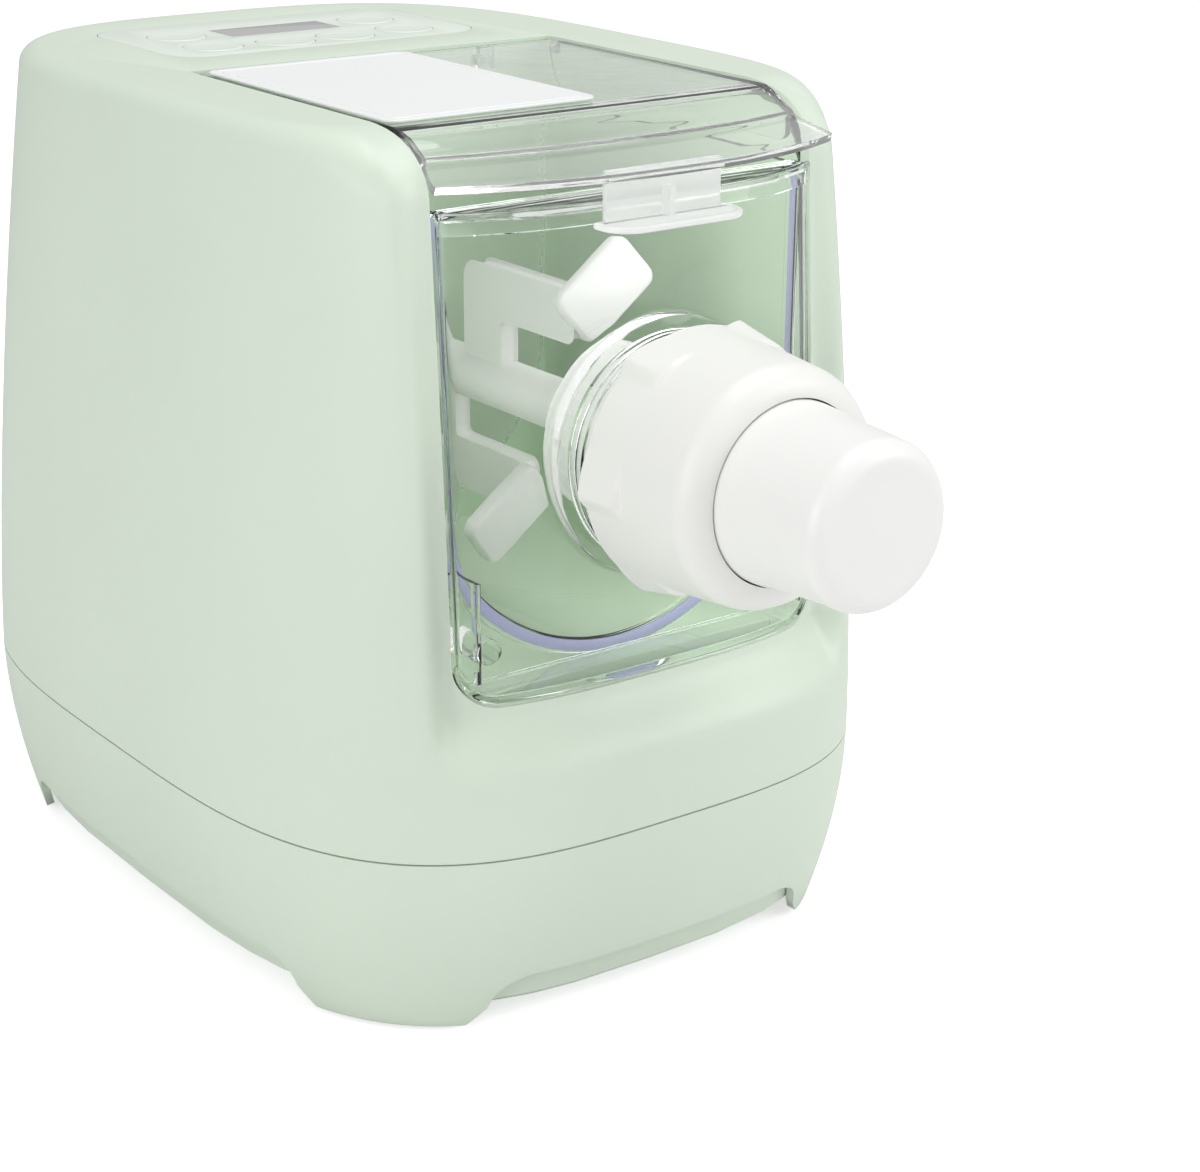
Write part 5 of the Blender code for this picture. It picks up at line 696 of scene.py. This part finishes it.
patches = [(head_rows(rear_part, all_turns), True), (head_rows(middle_part, open_turns), False), (head_rows(tip_part, all_turns), True)]
patches += [(head_rows(inner_barrel, all_turns), True)]
patches += [(head_rows([(DIE_FRONT - 0.0003, HEAD_BORE), (DIE_REAR + 0.0003, HEAD_BORE)], open_turns), False)]
patches += [(head_rows([(DIE_REAR + 0.0003, HEAD_BORE), (flange_back, HEAD_BORE)], all_turns), True)]
for depth, station in ((DIE_REAR + 0.0003, middle_part[0]), (DIE_FRONT - 0.0003, middle_part[-1])):
    patches.append((head_rows([(depth, HEAD_BORE), station], shut_turns), False))
for turn in (open_turns[:1], open_turns[-1:]):
    outer = head_rows(middle_part, turn)
    inner = outer.copy()
    inner[..., 0], inner[..., 2] = HEAD_BORE * np.cos(turn), AXIS_Z + HEAD_BORE * np.sin(turn)
    patches.append((np.concatenate([outer, inner], 1), False))
caps = [patches[2][0][-1], patches[3][0][0]]
head = make_piece("white_head", patches, moulded("white_head", (0.86, 0.865, 0.84), 0.34), caps=caps, crease=38)
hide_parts("extruder_head")
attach(head, "head")


# Lid: one moulding of clear plastic. A flat top runs into a visor that curls down over the window, steps once
# and flares to its lip, and two skirts hang inside the window's sides, hinged at the rear. The curl is a little hazy.
LID_HALF = 0.0703
LID_TOP = 0.2845
LID_THICK = 0.0026
LID_CROWN = -0.107
LID_REAR = 0.0092
LIP_HALF = 0.0748
LIP_MIDDLE = -0.1525
LIP_SIDE = -0.1375
LIP_Z = 0.2722
VISOR_REACH = (0, 0.09, 0.19, 0.30, 0.42, 0.525, 0.565, 0.72, 0.88, 1)
VISOR_DROP = (0, 0.02, 0.10, 0.24, 0.41, 0.53, 0.645, 0.78, 0.92, 1)


def visor(x_share, reach, drop):
    """Point of the visor: reach runs from the crown to a lip that bulges in the middle, and the sides flare over the last half."""
    lip_y = LIP_SIDE + (LIP_MIDDLE - LIP_SIDE) * (1 - np.abs(x_share) ** 2.4)
    flare = np.clip(2 * reach - 1, 0, 1)
    half = LID_HALF + (LIP_HALF - LID_HALF) * flare * flare * (3 - 2 * flare)
    return np.stack([x_share * half, LID_CROWN + (lip_y - LID_CROWN) * reach, LID_TOP + (LIP_Z - LID_TOP) * drop + 0 * x_share], -1)


reach = np.linspace(0, 1, 401)
spread = np.exp(-np.linspace(-2.5, 2.5, 21) ** 2)
padded_drop = np.concatenate([np.zeros(10), np.interp(reach, VISOR_REACH, VISOR_DROP), 1 + reach[1:11]])
drop = np.convolve(padded_drop, spread / spread.sum(), "valid")
pick = np.unique(np.concatenate([np.arange(0, 401, 8), np.arange(196, 236, 2)]))
x_share = np.sin(np.linspace(-1, 1, 91) * math.pi / 2 * 0.92) / math.sin(math.pi / 2 * 0.92)
top_y = np.linspace(LID_REAR, LID_CROWN, 24)[:-1, None]
top = np.stack([LID_HALF * x_share + 0 * top_y, top_y + 0 * x_share, LID_TOP + 0 * top_y * x_share], -1)
upper = np.concatenate([top, visor(x_share, reach[pick, None], drop[pick, None])])
along = np.gradient(upper, axis=0)
down = np.stack([0 * along[..., 0], -along[..., 2], along[..., 1]], -1)
lower = upper + LID_THICK * down / np.linalg.norm(down, axis=-1, keepdims=True)
rims = [np.stack([upper[0], lower[0]]), np.stack([upper[-1], lower[-1]])]
rims += [np.stack([upper[:, 0], lower[:, 0]], 1), np.stack([upper[:, -1], lower[:, -1]], 1)]


def side_prism(outline, low_x, high_x):
    """A flat plate square to the X axis: one ring of its (depth, height) outline at each side, and the two faces."""
    outline = np.array(outline)
    ring = np.stack([np.column_stack([np.full(len(outline), x), outline]) for x in (low_x, high_x)])
    return ring, [ring[0], ring[1]]


under = LID_TOP - LID_THICK + 0.0003
visor_skirt = np.interp(0.015, (LID_CROWN - upper[23:, 0, 1])[:60], upper[23:, 0, 2][:60]) - LID_THICK + 0.0004
skirt = [(0.0064, 0.2768), (0.0066, 0.2806), (0.0055, under), (LID_CROWN, under), (LID_CROWN - 0.0075, under - 0.0008), (LID_CROWN - 0.015, visor_skirt), (LID_CROWN - 0.015, 0.2685), (LID_CROWN - 0.013, 0.2665), (-0.0002, 0.2665), (0.003, 0.268)]
patches = [(upper, False), (lower, False)] + [(rim, False) for rim in rims]
caps = []
for low_x, high_x in ((-LID_HALF + 0.0003, -LID_HALF + 0.0023), (LID_HALF - 0.0023, LID_HALF - 0.0003)):
    ring, ends = side_prism(skirt, low_x, high_x)
    patches.append((ring, True))
    caps += ends
tongue_low, tongue_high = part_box("switch_plunger")
tongue_x = (tongue_low.x + tongue_high.x) / 2
tongue_z = (tongue_low.z + tongue_high.z) / 2 - 0.0019
nose_y = tongue_low.y - BODY_Y - 0.0003
front_y = LID_REAR - 0.0031
tongue = [(front_y, tongue_z), (nose_y, tongue_z), (nose_y, tongue_z + 0.0038), (front_y + 0.0025, tongue_z + 0.0038), (front_y + 0.0025, under), (front_y, under)]
ring, ends = side_prism(tongue, tongue_x - 0.003, tongue_x + 0.003)
patches.append((ring, True))
caps += ends
lid_plastic = clear("clear_lid", (0.99, 0.997, 0.992), 0.012, ior=1.38)
lid_nodes = lid_plastic.node_tree.nodes
place = lid_nodes.new("ShaderNodeTexCoord")
split = lid_nodes.new("ShaderNodeSeparateXYZ")
haze = lid_nodes.new("ShaderNodeMapRange")
haze.inputs["From Min"].default_value = BODY_Y + LID_CROWN
haze.inputs["From Max"].default_value = BODY_Y + LID_CROWN - 0.014
haze.inputs["To Min"].default_value = 1
haze.inputs["To Max"].default_value = 0.92
lid_plastic.node_tree.links.new(place.outputs["Object"], split.inputs[0])
lid_plastic.node_tree.links.new(split.outputs["Y"], haze.inputs["Value"])
lid_plastic.node_tree.links.new(haze.outputs[0], lid_nodes["Principled BSDF"].inputs["Transmission Weight"])
lid = make_piece("clear_lid_visor", patches, lid_plastic, caps=caps, rolled=0.0005)
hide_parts("lid")
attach(lid, "lid")


# Label plate: a thin leaf of frosted film bonded to the left of the lid, left bare but for a fine pressed border.
def slab(points, outward, section):
    """An outline carried up through (inset, height) stations, closed by a flat face at both ends."""
    rows = [np.column_stack([points - inset * outward, np.full(len(points), z)]) for inset, z in section]
    return (np.stack(rows), True), [rows[0], rows[-1]]


points, outward = rounded_outline((-0.0692, -0.1045), (0.0078, 0.0078), (0.005, 0.005))
label_low, label_top = 0.2848, 0.2856
section = [(0.0002, label_low), (0, label_low + 0.0002), (0, label_top - 0.0002), (0.0002, label_top)]
section += [(0.0030, label_top), (0.0032, label_top - 0.0002), (0.0038, label_top - 0.0002), (0.0040, label_top), (0.0046, label_top)]
patch, caps = slab(points, outward, section)
label = make_piece("frosted_label", [patch], moulded("label_film", (0.85, 0.87, 0.86), 0.4, mottle=0.015), caps=caps, crease=30)
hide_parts("lid_label")
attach(label, "lid")


# Finger tab: frosted plastic, moulded with the visor's underside; a panel hangs down and turns out into a shelf
# with rounded front corners, with one small stiffening post in the middle.
TAB_BACK = -0.1455
TAB_FRONT = -0.1595
TAB_SHELF = 0.2575
TAB_THICK = 0.002

shelf, outward = rounded_outline((-0.0255, TAB_FRONT), (0.0255, TAB_BACK - 0.0003), (0.0095, 0.001))
soft = 0.0005
section = [(soft, TAB_SHELF - TAB_THICK), (soft / 3, TAB_SHELF - TAB_THICK + soft / 3), (0, TAB_SHELF - TAB_THICK + soft)]
section += [(0, TAB_SHELF - soft), (soft / 3, TAB_SHELF - soft / 3), (soft, TAB_SHELF), (0.0016, TAB_SHELF), (0.0019, TAB_SHELF - 0.0003), (0.003, TAB_SHELF - 0.0003)]
patch, caps = slab(shelf, outward, section)
patches = [patch]
tab_x = np.linspace(-0.0215, 0.0215, 40)
visor_reach = (TAB_BACK - LID_CROWN) / (LIP_MIDDLE - LID_CROWN)
tab_top = LID_TOP + (LIP_Z - LID_TOP) * np.interp(visor_reach, reach, drop) - LID_THICK - 0.0002
for low, high in (((-0.0215, TAB_BACK - TAB_THICK, TAB_SHELF - 0.001), (0.0215, TAB_BACK, tab_top)), ((-0.001, TAB_BACK - 0.0062, TAB_SHELF - 0.0005), (0.001, TAB_BACK - TAB_THICK + 0.0002, tab_top - 0.0042))):
    ring, ends = block(low, high)
    patches.append((ring, True))
    caps += ends
tab = make_piece("frosted_finger_tab", patches, clear("frosted_tab", (0.97, 0.98, 0.97), 0.3, clearness=0.6), caps=caps, rolled=0.0003)
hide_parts("lid_finger_tab")
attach(tab, "lid")


# Mixing paddle: one white moulding of a shaft with a hexagonal socket in its rear end and two arms, one on each
# side. Each arm is a web with a bar turned forward at its end, and a broad blade leans off the bar's front end.
PADDLE_REAR = 0.005
PADDLE_FRONT = -0.1127
PADDLE_RADIUS = 0.0085
SOCKET_FLOOR = -0.012
SOCKET_ACROSS = 0.0052
ARM_HALF = 0.0035
EDGE_ROLL = 0.0013


def rounded_path(corners, radii):
    """Points and outward directions round a right-angled outline: each corner gives way to a quarter circle, hollow where it turns inwards."""
    corners = np.array(corners, float)
    bend = np.linspace(0, math.pi / 2, 9)[:, None]
    points, outwards = [], []
    for k, radius in enumerate(radii):
        back = corners[k - 1] - corners[k]
        ahead = corners[(k + 1) % len(corners)] - corners[k]
        back, ahead = back / np.linalg.norm(back), ahead / np.linalg.norm(ahead)
        away = -(ahead * np.cos(bend) + back * np.sin(bend))
        points.append(corners[k] + radius * (back + ahead) + radius * away)
        outwards.append(away if back[0] * ahead[1] > back[1] * ahead[0] else -away)
    return np.concatenate(points), np.concatenate(outwards)


def rolled_slab(points, outwards, half, place):
    """A slab of an outline with rolled edges, each of its (along, across, through) points put in place by a function."""
    rows = []
    for inset, through in ((EDGE_ROLL, -half), (0.3 * EDGE_ROLL, 0.3 * EDGE_ROLL - half), (0, EDGE_ROLL - half), (0, half - EDGE_ROLL), (0.3 * EDGE_ROLL, half - 0.3 * EDGE_ROLL), (EDGE_ROLL, half)):
        flat = points - inset * outwards
        rows.append(place(flat[:, 0], flat[:, 1], through))
    return (np.stack(rows), True), [rows[0], rows[-1]]


turn = np.linspace(0, 2 * math.pi, 73)[:-1]
socket = SOCKET_ACROSS / np.cos((turn + math.pi / 6) % (math.pi / 3) - math.pi / 6)
round_one = np.full(turn.shape, PADDLE_RADIUS)
rings = [(PADDLE_FRONT, 0.2 * round_one), (PADDLE_FRONT, 0.93 * round_one), (PADDLE_FRONT + 0.0006, round_one), (PADDLE_REAR - 0.0006, round_one), (PADDLE_REAR, 0.93 * round_one)]
rings += [(PADDLE_REAR, socket), (SOCKET_FLOOR, socket), (SOCKET_FLOOR, 0.3 * socket)]
rings = np.stack([np.stack([radius * np.cos(turn), np.full(turn.shape, y), AXIS_Z + radius * np.sin(turn)], -1) for y, radius in rings])
patches, caps = [(rings, True)], [rings[0], rings[-1]]
lean, twist = math.radians(38), math.radians(11)
for side, arm_y in ((1, -0.05600), (-1, -0.02800)):
    end_y = arm_y - 0.0490
    web = [(arm_y + 0.009, 0.006), (arm_y + 0.009, 0.039), (end_y, 0.039), (end_y, 0.024), (arm_y - 0.009, 0.024), (arm_y - 0.009, 0.006)]
    outline, outward = rounded_path(web, (0.0015, 0.0055, 0.003, 0.0025, 0.004, 0.0015))
    patch, ends = rolled_slab(outline, outward, ARM_HALF, lambda y, z, x: np.stack([side * x + 0 * y, y, AXIS_Z + side * z], -1))
    patches.append(patch)
    caps += ends
    outline, outward = rounded_outline((-0.003, -0.010), (0.029, 0.010), (0.0042, 0.0042), side=6, corner=9)

    def on_blade(along, across, through):
        """A point of the blade: twisted about its own length, then leaned outwards from the bar's front end."""
        deep = across * math.sin(twist) + through * math.cos(twist)
        wide = across * math.cos(twist) - through * math.sin(twist)
        x = along * math.cos(lean) - wide * math.sin(lean) - 0.0018
        z = along * math.sin(lean) + wide * math.cos(lean) + 0.0315
        return np.stack([side * x, end_y - 0.0004 + deep, AXIS_Z + side * z], -1)

    patch, ends = rolled_slab(outline, outward, 0.003, on_blade)
    patches.append(patch)
    caps += ends
paddle = make_piece("white_paddle", patches, moulded("white_paddle", (0.87, 0.875, 0.85), 0.36), caps=caps, crease=50)
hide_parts("mixing_paddle")
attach(paddle, "mixer")


# Control panel and display: moulded pieces whose corners are broken by a small radius.
def softened(node, name, material, width, body):
    """A finished copy of a solid: its points merged, its flat faces joined and its sharp edges rolled."""
    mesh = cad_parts[node].data.copy()
    mesh.name = name
    shape = bmesh.new()
    shape.from_mesh(mesh)
    bmesh.ops.remove_doubles(shape, verts=shape.verts, dist=2e-6)
    bmesh.ops.dissolve_limit(shape, angle_limit=math.radians(1.5), verts=shape.verts, edges=shape.edges)
    shape.to_mesh(mesh)
    shape.free()
    mesh.materials.clear()
    mesh.materials.append(material)
    piece = bpy.data.objects.new(name, mesh)
    bpy.context.scene.collection.objects.link(piece)
    roll = piece.modifiers.new("rolled_edges", "BEVEL")
    roll.width = width
    roll.segments = 3
    roll.limit_method = "ANGLE"
    roll.angle_limit = math.radians(40)
    mesh.shade_smooth()
    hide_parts(node)
    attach(piece, body)
    return piece


softened("control_panel", "key_panel", moulded("mint_panel", (0.72, 0.79, 0.71), 0.38), 0.0002, "machine")
softened("display_window", "grey_display", moulded("grey_window", (0.42, 0.427, 0.422), 0.18, mottle=0.01), 0.0002, "machine")


# Keys: six round caps of the panel's plastic, standing a hair proud, each with a rolled edge and a shallow hollow.
KEY_PLACES = {
    "rear_left": (-0.039, 0.0834),
    "rear_right": (0.039, 0.0834),
    "front_left": (-0.039, 0.0565),
    "front_right": (0.039, 0.0565),
    "middle_left": (-0.0122, 0.0533),
    "middle_right": (0.0122, 0.0533),
}
angle = np.linspace(0, 2 * math.pi, 73)[:-1]
direction = np.stack([np.cos(angle), np.sin(angle)], -1)
key_top = HEIGHT + 0.0002
section = [(0.0077, 0.2785), (0.0077, 0.2805), (0, 0.2805), (0, key_top - 0.0006), (0.0002, key_top - 0.0002), (0.0006, key_top), (0.0016, key_top), (0.0022, key_top - 0.0002), (0.006, key_top - 0.0003)]
key_paint = moulded("mint_keys", (0.72, 0.79, 0.71), 0.36)
for name, centre in KEY_PLACES.items():
    patch, caps = slab(np.array(centre) + 0.0105 * direction, direction, section)
    key = make_piece("cap_" + name, [patch], key_paint, caps=caps, crease=50)
    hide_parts("key_" + name)
    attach(key, "key_" + name)


# Carried-over solids take a finish each.
FINISH = {
    "mint_plastic": moulded("mint_plastic", (0.645, 0.735, 0.625), 0.42),
    # The liner's colour is partly its own greener tint and partly painted light: it is set lighter than the shell's
    # mint to brighten the dim chamber.
    "mint_inner": moulded("mint_inner", (0.76, 0.92, 0.72), 0.45),
    "panel_plastic": moulded("panel_plastic", (0.70, 0.77, 0.69), 0.38),
    "white_plastic": moulded("white_plastic", (0.86, 0.865, 0.84), 0.36),
    "label_film": moulded("label_film", (0.80, 0.83, 0.81), 0.45),
    "display_grey": moulded("display_grey", (0.48, 0.49, 0.49), 0.18),
    "dark_rubber": moulded("dark_rubber", (0.03, 0.03, 0.03), 0.8),
    "violet_seal": moulded("violet_seal", (0.45, 0.47, 0.72), 0.5),
    "steel": moulded("steel", (0.62, 0.63, 0.65), 0.3, metallic=1.0),
    "zinc_steel": moulded("zinc_steel", (0.55, 0.57, 0.60), 0.4, metallic=1.0),
    "bronze": moulded("bronze", (0.56, 0.38, 0.18), 0.35, metallic=1.0),
    "gear_nylon": moulded("gear_nylon", (0.80, 0.80, 0.76), 0.5),
    "circuit_board": moulded("circuit_board", (0.05, 0.22, 0.12), 0.45),
    "black_plastic": moulded("black_plastic", (0.03, 0.03, 0.03), 0.45),
    "clear_plastic": clear("clear_plastic", (0.985, 0.993, 0.988), 0.02),
    "frosted_plastic": clear("frosted_plastic", (0.95, 0.97, 0.96), 0.25),
}
for node_name, node_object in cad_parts.items():
    for place in node_object.material_slots:
        base = place.material.name.split(".")[0]
        if base in FINISH:
            place.material = FINISH[base]
